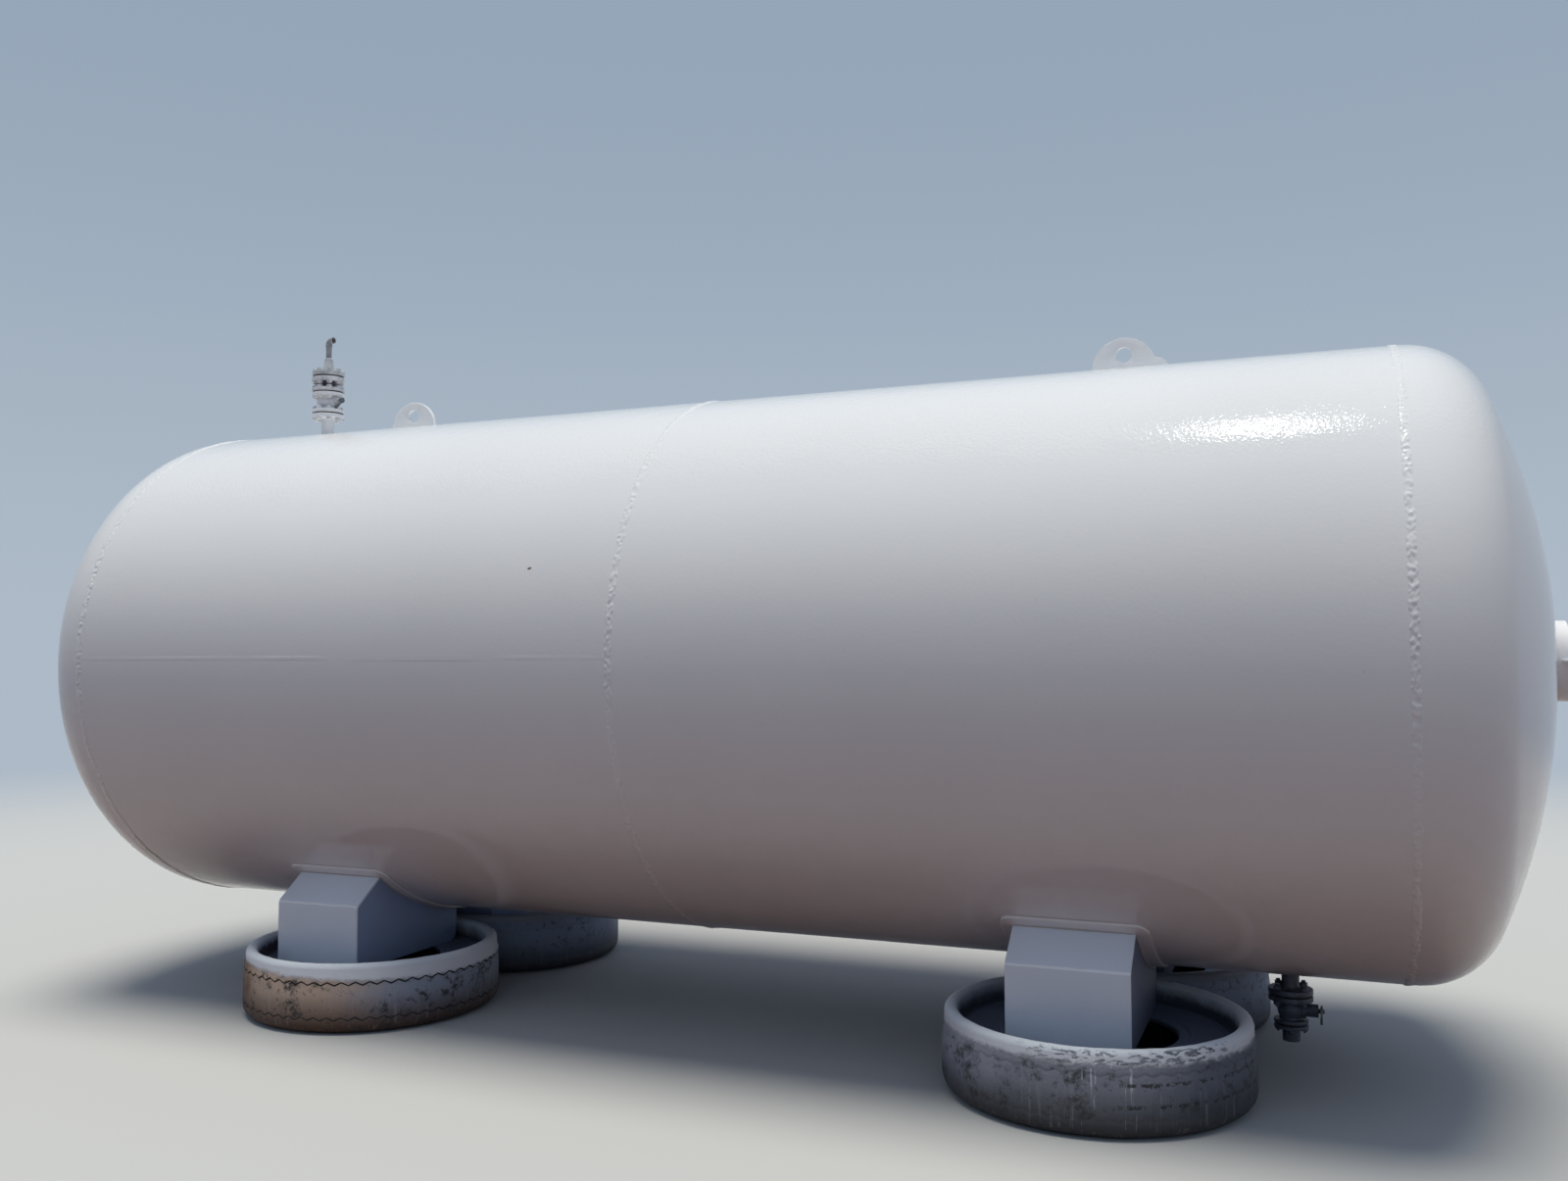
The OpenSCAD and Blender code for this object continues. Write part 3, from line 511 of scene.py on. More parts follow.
WHITE = enamel("white_shell_enamel", (0.82, 0.825, 0.835, 1), chip=True)
WHITE_WELD = enamel("white_weld_enamel", (0.84, 0.845, 0.85, 1), rough=0.12, peel=0.0005)
PAD_WELD = enamel("dusty_weld_enamel", (0.52, 0.47, 0.46, 1), rough=0.5)
# The leg plates: white enamel tinted blue as painted shade, with a painted highlight along the fold.
LEG_ENAMEL_BLUE_SHADE = enamel("leg_enamel_blue_shade_and_fold_highlight", (0.82, 0.85, 0.91, 1), dust=0.1, rough=0.4, high=0.6, fold=True)
# The leg boxes: white enamel made dark navy as painted shade, the right box darker still.
SHADED_BOX_ENAMEL = {
    "left": enamel("leg_box_painted_shade_enamel", (0.28, 0.37, 0.56, 1), dust=0.3, rough=0.55, high=0.7),
    "right": enamel("leg_box_deeper_painted_shade_enamel", (0.13, 0.16, 0.25, 1), dust=0.3, rough=0.55, high=0.7),
}
WHITE_FITTING = enamel("white_fitting_enamel", (0.88, 0.885, 0.9, 1), rough=0.3)
LIGHT_GREY = primer("light_grey_primer", (0.62, 0.63, 0.65, 1), 0.6, 0.45, (0.82, 0.82, 0.84, 1))
GREY = primer("grey_primer", (0.36, 0.375, 0.4, 1), 0.2)
NECK_GREY = primer(
    "neck_grey_primer", (0.78, 0.79, 0.82, 1), 0.7, spray_colour=(0.88, 0.88, 0.9, 1), core=STACK_CORE_R
)
LEVER_BLACK = primer("lever_black", (0.09, 0.1, 0.12, 1), 0.35)
# The drain parts, nozzle and studs too: blue-grey primer made dark navy as painted shade under the tank.
DRAIN_PRIMER_AND_SHADE = primer(
    "drain_primer_and_painted_shade", (0.085, 0.1, 0.14, 1), 0.25, spray_colour=(0.28, 0.31, 0.36, 1)
)
STUD_WHITE = primer("sprayed_stud_steel", (0.86, 0.87, 0.89, 1), 0.8, 0.42, (0.92, 0.92, 0.94, 1))
BLACK = primer("black_gasket", (0.012, 0.012, 0.012, 1), 0.04, 0.7)


# Rubber of the tyres

# Tyre inside: near-black bare rubber deepened with painted shade.
INNER_RUBBER_AND_SHADE = (0.045, 0.055, 0.08, 1)
SUNK_RUBBER = (0.11, 0.14, 0.21, 1)
# Near-black rubber for groove floors and dashes: bare rubber deepened with painted groove shade.
GROOVE_RUBBER_AND_SHADE = (0.012, 0.012, 0.013, 1)
STAIN = (0.03, 0.028, 0.027, 1)
DASH_ROWS = (0.108, 0.172)
GROOVE_FLOORS = ((0.5165, 0.05, 0.078), (0.5125, 0.178, 0.213))
GREY_RUBBER = (0.3, 0.38, 0.52, 1)
GREY_FOOT = (0.035, 0.036, 0.04, 1)
RIM_OVERSPRAY = (0.8, 0.84, 0.88, 1)


def tyre_places(tree, centre):
    """What the masks of a tyre are made of: places about its own axis, and noises there."""
    own = centred_on(tree, centre)
    axes = axes_of(tree, own)
    grain = noise_of(tree, own, 38.0, 9.0, 0.75)
    jagged = maths(tree, "MULTIPLY", maths(tree, "SUBTRACT", grain, 0.5), 0.05)
    return {
        "own": own,
        "across": axes["X"],
        "back": axes["Y"],
        "height": axes["Z"],
        "radius": distance_from_axis(tree, centre),
        "grain": grain,
        "ragged_height": maths(tree, "ADD", axes["Z"], jagged),
        "cloud": noise_of(tree, own, 9.0, 5.0, 0.6),
        "streak": noise_of(tree, stretched(tree, own, (75, 75, 4)), 1.0, 3.0, 0.6),
        "chips": noise_of(tree, stretched(tree, own, (26, 26, 95)), 1.0, 5.0, 0.7),
    }


def wall_colour(tree, at, wall, left, right, foot, rim, blotch):
    """The tread wall: tones from left to right, a dirty foot, pale streaks, stains and flecks."""
    wander = maths(tree, "MULTIPLY", maths(tree, "SUBTRACT", at["cloud"], 0.5), 0.4)
    astray = maths(tree, "ADD", at["across"], wander)
    colour = mixed(tree, ramp(tree, astray, -0.36, -0.12), left, wall)
    colour = mixed(tree, ramp(tree, astray, 0.14, 0.4), colour, right)
    low = maths(tree, "MULTIPLY", ramp(tree, at["ragged_height"], 0.19, 0.03), 0.95)
    colour = mixed(tree, low, colour, foot)
    run = both(tree, ramp(tree, at["streak"], 0.54, 0.7), ramp(tree, at["height"], 0.19, 0.12), 0.14)
    colour = mixed(tree, run, colour, rim)
    stain = both(tree, ramp(tree, at["cloud"], 0.5, 0.6), ramp(tree, at["grain"], 0.42, 0.56), blotch)
    colour = mixed(tree, stain, colour, STAIN)
    fleck = both(tree, ramp(tree, at["grain"], 0.56, 0.62), 0.6)
    return mixed(tree, fleck, colour, STAIN)


def rim_spray(tree, at, rim_from, rim_tilt, worn):
    """Where the rim has overspray. A worn one has runs at its front and bare chips on its shoulder."""
    edge = maths(tree, "ADD", at["ragged_height"], maths(tree, "MULTIPLY", at["across"], rim_tilt))
    sprayed = ramp(tree, edge, rim_from - 0.01, rim_from + 0.012)
    if not worn:
        return sprayed
    across, height = at["across"], at["height"]
    front = both(tree, ramp(tree, across, 0.02, 0.05), ramp(tree, across, 0.24, 0.2))
    runs = both(tree, ramp(tree, at["streak"], 0.6, 0.64), front, ramp(tree, height, 0.03, 0.09), 0.65)
    sprayed = maths(tree, "MAXIMUM", sprayed, runs)
    shoulder = both(
        tree, ramp(tree, height, 0.215, 0.23), ramp(tree, height, 0.271, 0.262),
        ramp(tree, across, -0.2, -0.05), ramp(tree, at["back"], -0.2, -0.3),
    )
    bare = both(tree, shoulder, ramp(tree, at["chips"], 0.53, 0.57), 0.9)
    return both(tree, sprayed, maths(tree, "SUBTRACT", 1.0, bare))


def groove_dashes(tree, at, colour):
    """Two rows of near-black dashes on the right half of the wall, where open grooves show: bare rubber
    with painted groove shade.
    """
    for row in DASH_ROWS:
        off_row = maths(tree, "ABSOLUTE", maths(tree, "SUBTRACT", at["ragged_height"], row))
        dash = both(
            tree, ramp(tree, off_row, 0.007, 0.004), ramp(tree, at["grain"], 0.46, 0.54),
            ramp(tree, at["across"], 0.08, 0.2), 0.9,
        )
        colour = mixed(tree, dash, colour, GROOVE_RUBBER_AND_SHADE)
    return colour


def dark_grooves(tree, at, colour):
    """Near-black floors of the tread grooves, found by their radius and height: bare rubber deepened with
    painted shade.
    """
    for floor_radius, low_edge, high_edge in GROOVE_FLOORS:
        deep = both(
            tree,
            maths(tree, "GREATER_THAN", at["radius"], 0.5),
            maths(tree, "LESS_THAN", at["radius"], floor_radius),
            maths(tree, "GREATER_THAN", at["height"], low_edge),
            maths(tree, "LESS_THAN", at["height"], high_edge),
        )
        colour = mixed(tree, deep, colour, GROOVE_RUBBER_AND_SHADE)
    return colour


def dark_inside(tree, at, colour):
    """The tyre's inside, near-black bare rubber deepened with painted shade, and its sunk sidewall."""
    inside = both(
        tree, ramp(tree, at["radius"], 0.466, 0.458), maths(tree, "LESS_THAN", at["height"], 0.262), 0.95
    )
    high = maths(tree, "GREATER_THAN", at["height"], 0.19)
    sunk = both(tree, high, ramp(tree, at["radius"], 0.45, 0.43))
    return mixed(tree, inside, colour, mixed(tree, sunk, INNER_RUBBER_AND_SHADE, SUNK_RUBBER))


def rubber(
    depth, end, wall, left, right, foot, rim, blotch,
    rim_from=0.238, rim_tilt=0.0, worn=False, crisp=False,
):
    """Old tyre rubber: overspray on the rim and wall, grooves and a dark inside of bare rubber deepened
    with painted shade, and a dirty foot.
    """
    material, tree, shader = new_material(f"rubber_{depth}_{end}")
    at = tyre_places(tree, tyre_centre(depth, end))
    colour = wall_colour(tree, at, wall, left, right, foot, rim, blotch)
    sprayed = rim_spray(tree, at, rim_from, rim_tilt, worn)
    colour = mixed(tree, sprayed, colour, rim)
    if worn:
        colour = groove_dashes(tree, at, colour)
    if crisp:
        colour = dark_grooves(tree, at, colour)
    tree.links.new(dark_inside(tree, at, colour), shader.inputs["Base Color"])
    gloss = maths(tree, "ADD", maths(tree, "MULTIPLY", sprayed, -0.12), 0.62)
    tree.links.new(gloss, shader.inputs["Roughness"])
    spray_edge = maths(tree, "MULTIPLY", sprayed, 1.2)
    relief = maths(tree, "ADD", spray_edge, noise_of(tree, at["own"], 120.0, 9.0, 0.75))
    bumped(tree, shader, relief, 0.0022)
    return material


def tyre_centre(depth, end):
    return TYRE_XS[end] * MM, SIDES[depth] * TYRE_Y * MM


RUBBERS = {
    ("near", "left"): rubber(
        "near", "left", wall=(0.64, 0.49, 0.38, 1), left=(0.17, 0.075, 0.035, 1),
        right=(0.36, 0.41, 0.5, 1), foot=(0.08, 0.038, 0.02, 1), rim=RIM_OVERSPRAY, blotch=0.95,
        rim_from=0.218, rim_tilt=0.04, crisp=True,
    ),
    ("near", "right"): rubber(
        "near", "right", wall=(0.27, 0.29, 0.33, 1), left=(0.38, 0.41, 0.47, 1),
        right=(0.12, 0.14, 0.18, 1), foot=GREY_FOOT, rim=RIM_OVERSPRAY, blotch=0.8,
        rim_from=0.225, worn=True,
    ),
    ("far", "left"): rubber(
        "far", "left", wall=GREY_RUBBER, left=GREY_RUBBER, right=GREY_RUBBER, foot=GREY_FOOT,
        rim=(0.36, 0.4, 0.46, 1), blotch=0.3,
    ),
    ("far", "right"): rubber(
        "far", "right", wall=GREY_RUBBER, left=GREY_RUBBER, right=GREY_RUBBER, foot=GREY_FOOT,
        rim=(0.26, 0.29, 0.34, 1), blotch=0.3,
    ),
}


# Shell courses and heads

PLATE_EDGE = 7
SPANS = 40
SHELL_STEPS = 256
SWELL = 700
SWELL_DEPTH = 1.6
STRAIGHT = 20
KNUCKLE_R = 280
KNUCKLE_FOOT = SHELL_R - KNUCKLE_R
CROWN_R = 2280
CROWN_BACK = 1804.17


def shell_course(name, start):
    """One rolled course: an outer face that swells by a millimetre or so, and its inner face."""
    xs = [PLATE_EDGE + (COURSE - 2 * PLATE_EDGE) * k / SPANS for k in range(SPANS + 1)]
    outline = [(x, SHELL_R) for x in xs] + [(COURSE, SHELL_R - SHELL_T), (0, SHELL_R - SHELL_T)]
    piece = turned(name, outline, (start, 0, AXIS_Z), ALONG, SHELL_STEPS)
    roughened(piece, SWELL, SWELL_DEPTH, mid=1.0, detail=1)
    return placed(piece, WHITE, nodes=[name], angle=20)


def dished_head(name, start, outward):
    """A dished end: straight flange, knuckle, crown, and the inner face behind it."""
    knuckle, crown = (STRAIGHT, KNUCKLE_FOOT), (-CROWN_BACK, 0)
    turn = math.degrees(math.atan2(CROWN_BACK + STRAIGHT, KNUCKLE_FOOT))
    outer = [(8, SHELL_R)] + arc(knuckle, KNUCKLE_R, 0, turn, 20)
    outer += arc(crown, CROWN_R, turn, 90, 26)[1:]
    inner = [(0, SHELL_R - HEAD_T)] + arc(knuckle, KNUCKLE_R - HEAD_T, 0, turn, 6)
    inner += arc(crown, CROWN_R - HEAD_T, turn, 90, 6)[1:]
    outline = inner[::-1] + outer
    outline[0] = (outline[0][0], 0)
    outline[-1] = (outline[-1][0], 0)
    piece = turned(name, outline, (start, 0, AXIS_Z), outward, SHELL_STEPS, closed=False)
    roughened(piece, 600, 1.2, mid=1.0, detail=1)
    return placed(piece, WHITE, nodes=[name], angle=20)


shell_course("shell_left", LEFT_X)
shell_course("shell_right", MID_X)
dished_head("head_left", LEFT_X, -ALONG)
dished_head("head_right", RIGHT_X, ALONG)


# Welds of the shell

GIRTH_STEPS = 1500
SEAM_RISE = 20
SEAM_GAP = 14
SEAM_SPANS = 200


def girth_bead(name, x, proud=0.0):
    """The lumpy, hand-laid cap of a girth weld."""
    half = [(-15.5, -3.5), (-14.5, -1.6), (-12.5, -0.7), (-10, 0), (-7.5, 0.5), (-5, 0.8), (-2.5, 1)]
    cap = half + [(0, 1.1)] + [(-h, r) for h, r in reversed(half)]
    outline = [(h, SHELL_R + proud + r) for h, r in cap]
    piece = turned(name, outline, (x, 0, AXIS_Z), ALONG, GIRTH_STEPS)
    roughened(piece, 160, 2.0)
    roughened(piece, 14, 5.5, detail=1)
    return placed(piece, WHITE_WELD, nodes=[name], angle=60)


def seam_bead(name, start, side):
    """The low, ground cap of a long seam, laid along the course."""
    rise = math.asin(SEAM_RISE / SHELL_R)
    out = Vector((0, side * math.cos(rise), math.sin(rise)))
    tangent = Vector((0, -side * math.sin(rise), math.cos(rise)))
    foot = Vector((start + SEAM_GAP, 0, AXIS_Z))
    step = (COURSE - 2 * SEAM_GAP) / SEAM_SPANS * MM
    section = [(-10, -1.5), (-9, -0.14), (-4, 0.04), (0, 0.1), (4, 0.04), (9, -0.14), (10, -1.5)]
    ring = [(foot + out * (SHELL_R + h) + tangent * w) * MM for w, h in section]
    piece = drawn(name, ring, closed=True)
    edit(piece)
    bpy.ops.mesh.edge_face_add()
    for _ in range(SEAM_SPANS):
        bpy.ops.mesh.extrude_region_move(TRANSFORM_OT_translate={"value": (step, 0, 0)})
    bpy.ops.mesh.select_all(action="SELECT")
    bpy.ops.mesh.normals_make_consistent(inside=False)
    done()
    roughened(piece, SWELL, SWELL_DEPTH, mid=1.0, detail=1)
    return placed(piece, WHITE, nodes=[name], angle=60)


girth_bead("girth_weld_left", LEFT_X, 0.5)
girth_bead("girth_weld_middle", MID_X, 0.7)
girth_bead("girth_weld_right", RIGHT_X)
seam_bead("seam_weld_left", LEFT_X, -1)
seam_bead("seam_weld_right", MID_X, 1)


# Legs

def on_shell(x, y, proud):
    """A point on the shell's underside, that much proud of it."""
    r = SHELL_R + proud
    return (x, y, AXIS_Z - math.sqrt(r * r - y * y))


def pad_border(x, side):
    """Points round a wear pad on the shell."""
    half = LEG_HALF_W + PAD_MARGIN
    low, high = LEG_INNER_Y - PAD_MARGIN, LEG_OUTER_Y + PAD_MARGIN * 0.8
    corner = PAD_CORNER_R
    points = []
    for cx, cy, start in (
        (half - corner, low + corner, -90), (half - corner, high - corner, 0),
        (corner - half, high - corner, 90), (corner - half, low + corner, 180),
    ):
        for k in range(7):
            a = math.radians(start + 15 * k)
            points.append((cx + corner * math.cos(a), cy + corner * math.sin(a)))
    dense = []
    for here, there in zip(points, points[1:] + points[:1]):
        parts = max(1, int(math.dist(here, there) / 40))
        for k in range(parts):
            dense.append(Vector(here).lerp(Vector(there), k / parts))
    return [on_shell(x + px, side * py, 0.2) for px, py in dense]


def leg(depth, end):
    """A folded leg: front plate, box and wear pad, with the welds between them and the shell."""
    x, side = LEG_XS[end], SIDES[depth]
    parts = (("plate", LEG_ENAMEL_BLUE_SHADE, 1.6), ("box", SHADED_BOX_ENAMEL[end], 1.2), ("pad", WHITE, 1.5))
    for part, material, width in parts:
        name = f"leg_{part}_{depth}_{end}"
        placed(softened(name, width), material, nodes=[name])
    name = f"{depth}_{end}"
    border = weld_bead(f"pad_weld_{name}", pad_border(x, side), 1.8, closed=True)
    front = [on_shell(x - 202 + 404 * k / 16, side * (LEG_OUTER_Y + 2), 10) for k in range(17)]
    beads = [border, weld_bead(f"front_weld_{name}", front, 2.6)]
    for turn in (-1, 1):
        line = [on_shell(x + turn * 204, side * (142 + 526 * k / 20), 10) for k in range(21)]
        beads.append(weld_bead(f"side_weld_{name}_{turn}", line, 3))
    placed(joined(f"leg_welds_{name}", beads), PAD_WELD, angle=60)


for depth in SIDES:
    for end in LEG_XS:
        leg(depth, end)


# Tyres

TYRE_STEPS = 240
GROOVE_HEIGHTS = (63, 198)
CRISP_GROOVES = (3, 6)
FILLED_GROOVES = (0.5, 0.7)
ZIGZAG = 6


def groove(height, wall, depth):
    """A worn tread groove across the outline, at that height of the wall."""
    return [
        (height - 15, wall), (height - 3, wall - 0.2), (height - 1.2, wall - depth),
        (height + 1.2, wall - depth), (height + 3, wall - 0.2), (height + 15, wall),
    ]


def tyre_outline(low_depth, high_depth):
    """A truck tyre lying flat, bulged by the load and its upper sidewall sunk, as (height, radius)."""
    outline = [(30, 270), (28, 276), (20, 300), (0, 385), (0, 462)]
    for k in range(1, 8):
        a = math.radians(90 * k / 8)
        outline.append((45 * (1 - math.cos(a)), 462 + 57 * math.sin(a)))
    outline += groove(GROOVE_HEIGHTS[0], 520, low_depth) + [(105, 520), (130, 520), (155, 519.5)]
    outline += groove(GROOVE_HEIGHTS[1] - 1, 516.5, high_depth) + [(225, 511.5)]
    outline += arc((247, 486.5), 25, -8, 180, 11)[1:-1]
    outline += [(236, 460.5), (222, 459.5), (208, 458), (201, 455.5), (197.5, 451)]
    outline += [(197, 446), (200, 442), (200, 436), (197, 432), (197, 420), (198.6, 417), (197, 414)]
    outline += [(197, 380), (197, 345), (197, 322), (201, 318), (201, 310), (197, 305), (197, 292)]
    outline += [(199, 288), (199, 280), (196, 273), (190, 270), (180, 270)]
    outline += [(175, 275), (176, 288), (185, 294), (185, 380), (185, 452), (200, 470), (246, 478)]
    outline += [(252, 486), (246, 492), (35, 498)] + arc((35, 475), 23, -15, -90, 4)
    outline += [(12, 385), (40, 285), (50, 283), (48, 271), (38, 270)]
    return outline


def tyre(depth, end):
    name = f"tyre_{depth}_{end}"
    crisp = (depth, end) == ("near", "left")
    low_depth, high_depth = CRISP_GROOVES if crisp else FILLED_GROOVES
    centre_x, centre_y = tyre_centre(depth, end)
    foot = (TYRE_XS[end], SIDES[depth] * TYRE_Y, 0)
    piece = turned(name, tyre_outline(low_depth, high_depth), foot, UP, TYRE_STEPS)

    def column(vert):
        angle = math.atan2(vert.co.y - centre_y, vert.co.x - centre_x)
        return round(angle / math.tau * TYRE_STEPS) % 4

    def in_groove(vert):
        r = math.hypot(vert.co.x - centre_x, vert.co.y - centre_y)
        return r > 0.5 and any(abs(vert.co.z / MM - height) < 8 for height in GROOVE_HEIGHTS)

    edit(piece)
    for turn, shift in ((1, ZIGZAG), (3, -ZIGZAG)):
        pick(piece, lambda vert: in_groove(vert) and column(vert) == turn)
        bpy.ops.transform.translate(value=(0, 0, shift * MM))
    done()
    roughened(piece, 60, 3.0, mid=1.0)
    return placed(piece, RUBBERS[depth, end], nodes=[name], angle=30)


for depth in SIDES:
    for end in TYRE_XS:
        tyre(depth, end)


# Lifting lugs

def lug(end, reach_left, reach_right):
    name = f"lifting_lug_{end}"
    placed(softened(name, 3.0, 3), WHITE_FITTING, nodes=[name])
    left, right = LUG_XS[end] - reach_left, LUG_XS[end] + reach_right
    loop = []
    for start, stop, y in ((left, right, -11), (right, left, 11)):
        loop += [(start + (stop - start) * k / 14, y, SHELL_TOP + 2) for k in range(15)]
    placed(weld_bead(f"lug_weld_{end}", loop, 6, closed=True), WHITE_WELD, angle=60)


lug("left", LUG_REACH, LUG_REACH)
lug("right", LUG_REACH, ROUNDED_LUG_REACH)


# Bolting

M16 = {"thread": 16, "across": 24, "nut": 13}
M12 = {"thread": 12, "across": 19, "nut": 10}
THREAD_PITCH = 2.5


def hexagon(name, across, height, foot, up):
    """A nut with its corners chamfered."""
    corner = across / math.sqrt(3)
    flat = corner - 2.4
    outline = [(0, 0), (0, flat), (1.3, corner), (height - 1.3, corner), (height, flat), (height, 0)]
    return turned(name, outline, foot, up, 6, closed=False)


def threaded(name, radius, length, foot, up):
    """A stud with its thread turned as rings and its ends rounded."""
    outline = [(0, 0), (0, radius - 2.2)]
    for k in range(int(length / THREAD_PITCH)):
        outline += [(THREAD_PITCH * (k + 0.25), radius), (THREAD_PITCH * (k + 0.75), radius - 1.1)]
    outline += [(length, radius - 2.2), (length, 0)]
    return turned(name, outline, foot, up, 16, closed=False)


def stud(name, foot, up, angle, circle, low, high, size, low_end, high_end):
    """A stud and its nuts. An end is what stands out of its nut, or None where it has no nut."""
    reach = circle / 2
    axis = Vector(foot) + Vector((math.cos(angle), math.sin(angle), 0)) * reach
    bottom, top = low + 1, high - 1
    parts = []
    if low_end is not None:
        bottom = low - size["nut"] - low_end
        parts.append(hexagon(name + "_low_nut", size["across"], size["nut"], axis + up * low, -up))
    if high_end is not None:
        top = high + size["nut"] + high_end
        parts.append(hexagon(name + "_high_nut", size["across"], size["nut"], axis + up * high, up))
    parts.append(threaded(name, size["thread"] / 2, top - bottom, axis + up * bottom, up))
    return joined(name, parts)


def bolt_circle(name, foot, up, first, count, spared, circle, low, high, size, ends, material):
    """Studs of a flange pair, copied round from one. A spared first place gets a stud with one nut."""
    model = stud(name, foot, up, first, circle, low, high, size, *ends)
    ring = [model]
    for k in range(1, count):
        only(model)
        bpy.ops.object.duplicate()
        twin = bpy.context.object
        edit(twin)
        bpy.ops.transform.rotate(
            value=-math.tau * k / count, orient_axis="Z", center_override=(foot[0] * MM, 0, foot[2] * MM)
        )
        done()
        ring.append(twin)
    if spared:
        bpy.data.objects.remove(ring.pop(0))
        ring.append(stud(name + "_short", foot, up, first, circle, low, high, size, None, ends[1]))
    return placed(joined(name, ring), material, angle=25)


def relief_studs(name, low, high, ends, spared=False):
    bolt_circle(name, RELIEF_FOOT, UP, 0, 8, spared, BOLT_CIRCLE, low, high, M16, ends, STUD_WHITE)


def drain_studs(name, first, circle, low, high, size, ends):
    bolt_circle(name, DRAIN_FOOT, DOWN, first, 4, False, circle, low, high, size, ends, DRAIN_PRIMER_AND_SHADE)


relief_studs("relief_studs_low", 99, 139, (1, 5))
relief_studs("relief_studs_middle", 207, 245, (4, 0), spared=True)
relief_studs("relief_studs_top", 279, 328, (2, 0))
drain_studs("drain_studs_high", math.pi / 4, BOLT_CIRCLE, 70, 112, M16, (7, 7))
drain_studs("drain_studs_low", 0, TAIL_BOLT_CIRCLE, 178, 210, M12, (None, 6))


# Relief stack

NECK_BORE_R = 22.25
STACK_STEPS = 96
DRAIN_STEPS = 80
GLAND_STEPS = 64
RELIEF_STEM_H = 183
DRAIN_STEM_H = 145


def stack_piece(name, outline, material, nodes=(), ease=2.0):
    piece = turned(name, eased(outline, ease), RELIEF_FOOT, UP, STACK_STEPS)
    return placed(piece, material, nodes=nodes)


def drain_piece(name, outline, material, nodes=(), ease=2.0):
    piece = turned(name, eased(outline, ease), DRAIN_FOOT, DOWN, DRAIN_STEPS)
    return placed(piece, material, nodes=nodes)


stack_piece("relief_nozzle", [
    (-40, PIPE_R), (92, PIPE_R), (94, 31.5), (99, 37), (99, FLANGE_R), (116.5, FLANGE_R),
    (116.5, FLANGE_FACE_R), (118, FLANGE_FACE_R), (118, PIPE_BORE_R), (-40, PIPE_BORE_R),
], WHITE_FITTING, ["relief_nozzle"])
for name, low, bore, nodes in (
    ("relief_gaskets", 118, 26.5, ["relief_gaskets"]), ("relief_gasket_middle", 224, 26.5, ()),
    ("relief_gasket_top", 301, 22.5, ()),
):
    stack_piece(name, [
        (low + 0.2, bore), (low + 0.2, 71.5), (low + 3.8, 71.5), (low + 3.8, bore),
    ], BLACK, nodes, 0.8)
stack_piece("relief_valve", [
    (122, PIPE_BORE_R), (122, FLANGE_FACE_R), (123.5, FLANGE_FACE_R), (123.5, FLANGE_R),
    (139, FLANGE_R), (139, 46), (143, 42.2),
] + arc((173, PIPE_BORE_R), 26.25, -53, 53, 12) + [
    (203, 42.2), (207, 46), (207, FLANGE_R), (222.5, FLANGE_R),
    (222.5, FLANGE_FACE_R), (224, FLANGE_FACE_R), (224, PIPE_BORE_R),
], WHITE_FITTING, ["relief_valve"])
stack_piece("relief_neck", [
    (228, NECK_BORE_R), (228, FLANGE_FACE_R), (229.5, FLANGE_FACE_R), (229.5, FLANGE_R),
    (245, FLANGE_R), (245, 35), (249, 30.3), (275, 30.3), (279, 35), (279, FLANGE_R),
    (299.5, FLANGE_R), (299.5, FLANGE_FACE_R), (301, FLANGE_FACE_R), (301, NECK_BORE_R),
], NECK_GREY, ["relief_neck"])
stack_piece("vent_flange", [
    (305, VENT_BORE_R), (305, FLANGE_FACE_R), (306.5, FLANGE_FACE_R), (306.5, FLANGE_R),
    (328, FLANGE_R), (328, 33), (331, 29.6), (387, 19.1), (390, 18.2), (390, VENT_BORE_R),
], LIGHT_GREY, ["vent_flange"])
stack_piece("vent_pipe", [
    (389, VENT_BORE_R), (389, VENT_R), (464, VENT_R), (464, VENT_BORE_R),
], GREY, ["vent_pipe"], 0.5)
stack_piece("vent_root_weld", [
    (389.8, 12), (389.8, 17.5), (392, 18.6), (396, 17.4), (398, 15), (398, 12),
], STUD_WHITE, ease=1.2)


# Glands and levers

relief_gland = turned("relief_gland", eased([
    (38, 0), (38, 22), (56.5, 22), (56.5, 16), (72, 16), (72, STEM_R), (43, STEM_R),
], 1.2), (RELIEF_X, 0, SHELL_TOP + RELIEF_STEM_H), ALONG, GLAND_STEPS)
placed(relief_gland, STUD_WHITE)
drain_gland = turned("drain_gland", eased([
    (30, 0), (30, 29), (50, 29), (50, 23), (92, 23), (92, STEM_R), (43, STEM_R),
], 1.2), (DRAIN_X, 0, SHELL_BOTTOM - DRAIN_STEM_H), ALONG, GLAND_STEPS)
placed(drain_gland, DRAIN_PRIMER_AND_SHADE)

for lever in ("relief_lever", "drain_lever"):
    placed(softened(lever, 1.4), LEVER_BLACK, lever, [lever])


# Vent elbow

SOCKET_H = 456
SOCKET_R = 15.98
SOCKET_HOLE_R = 13.5
ELBOW_R = 14.45
MOUTH_HOLE_R = 12.5
BEND_R = 20
BEND_STEPS = 14
ELBOW_SIDES = 48


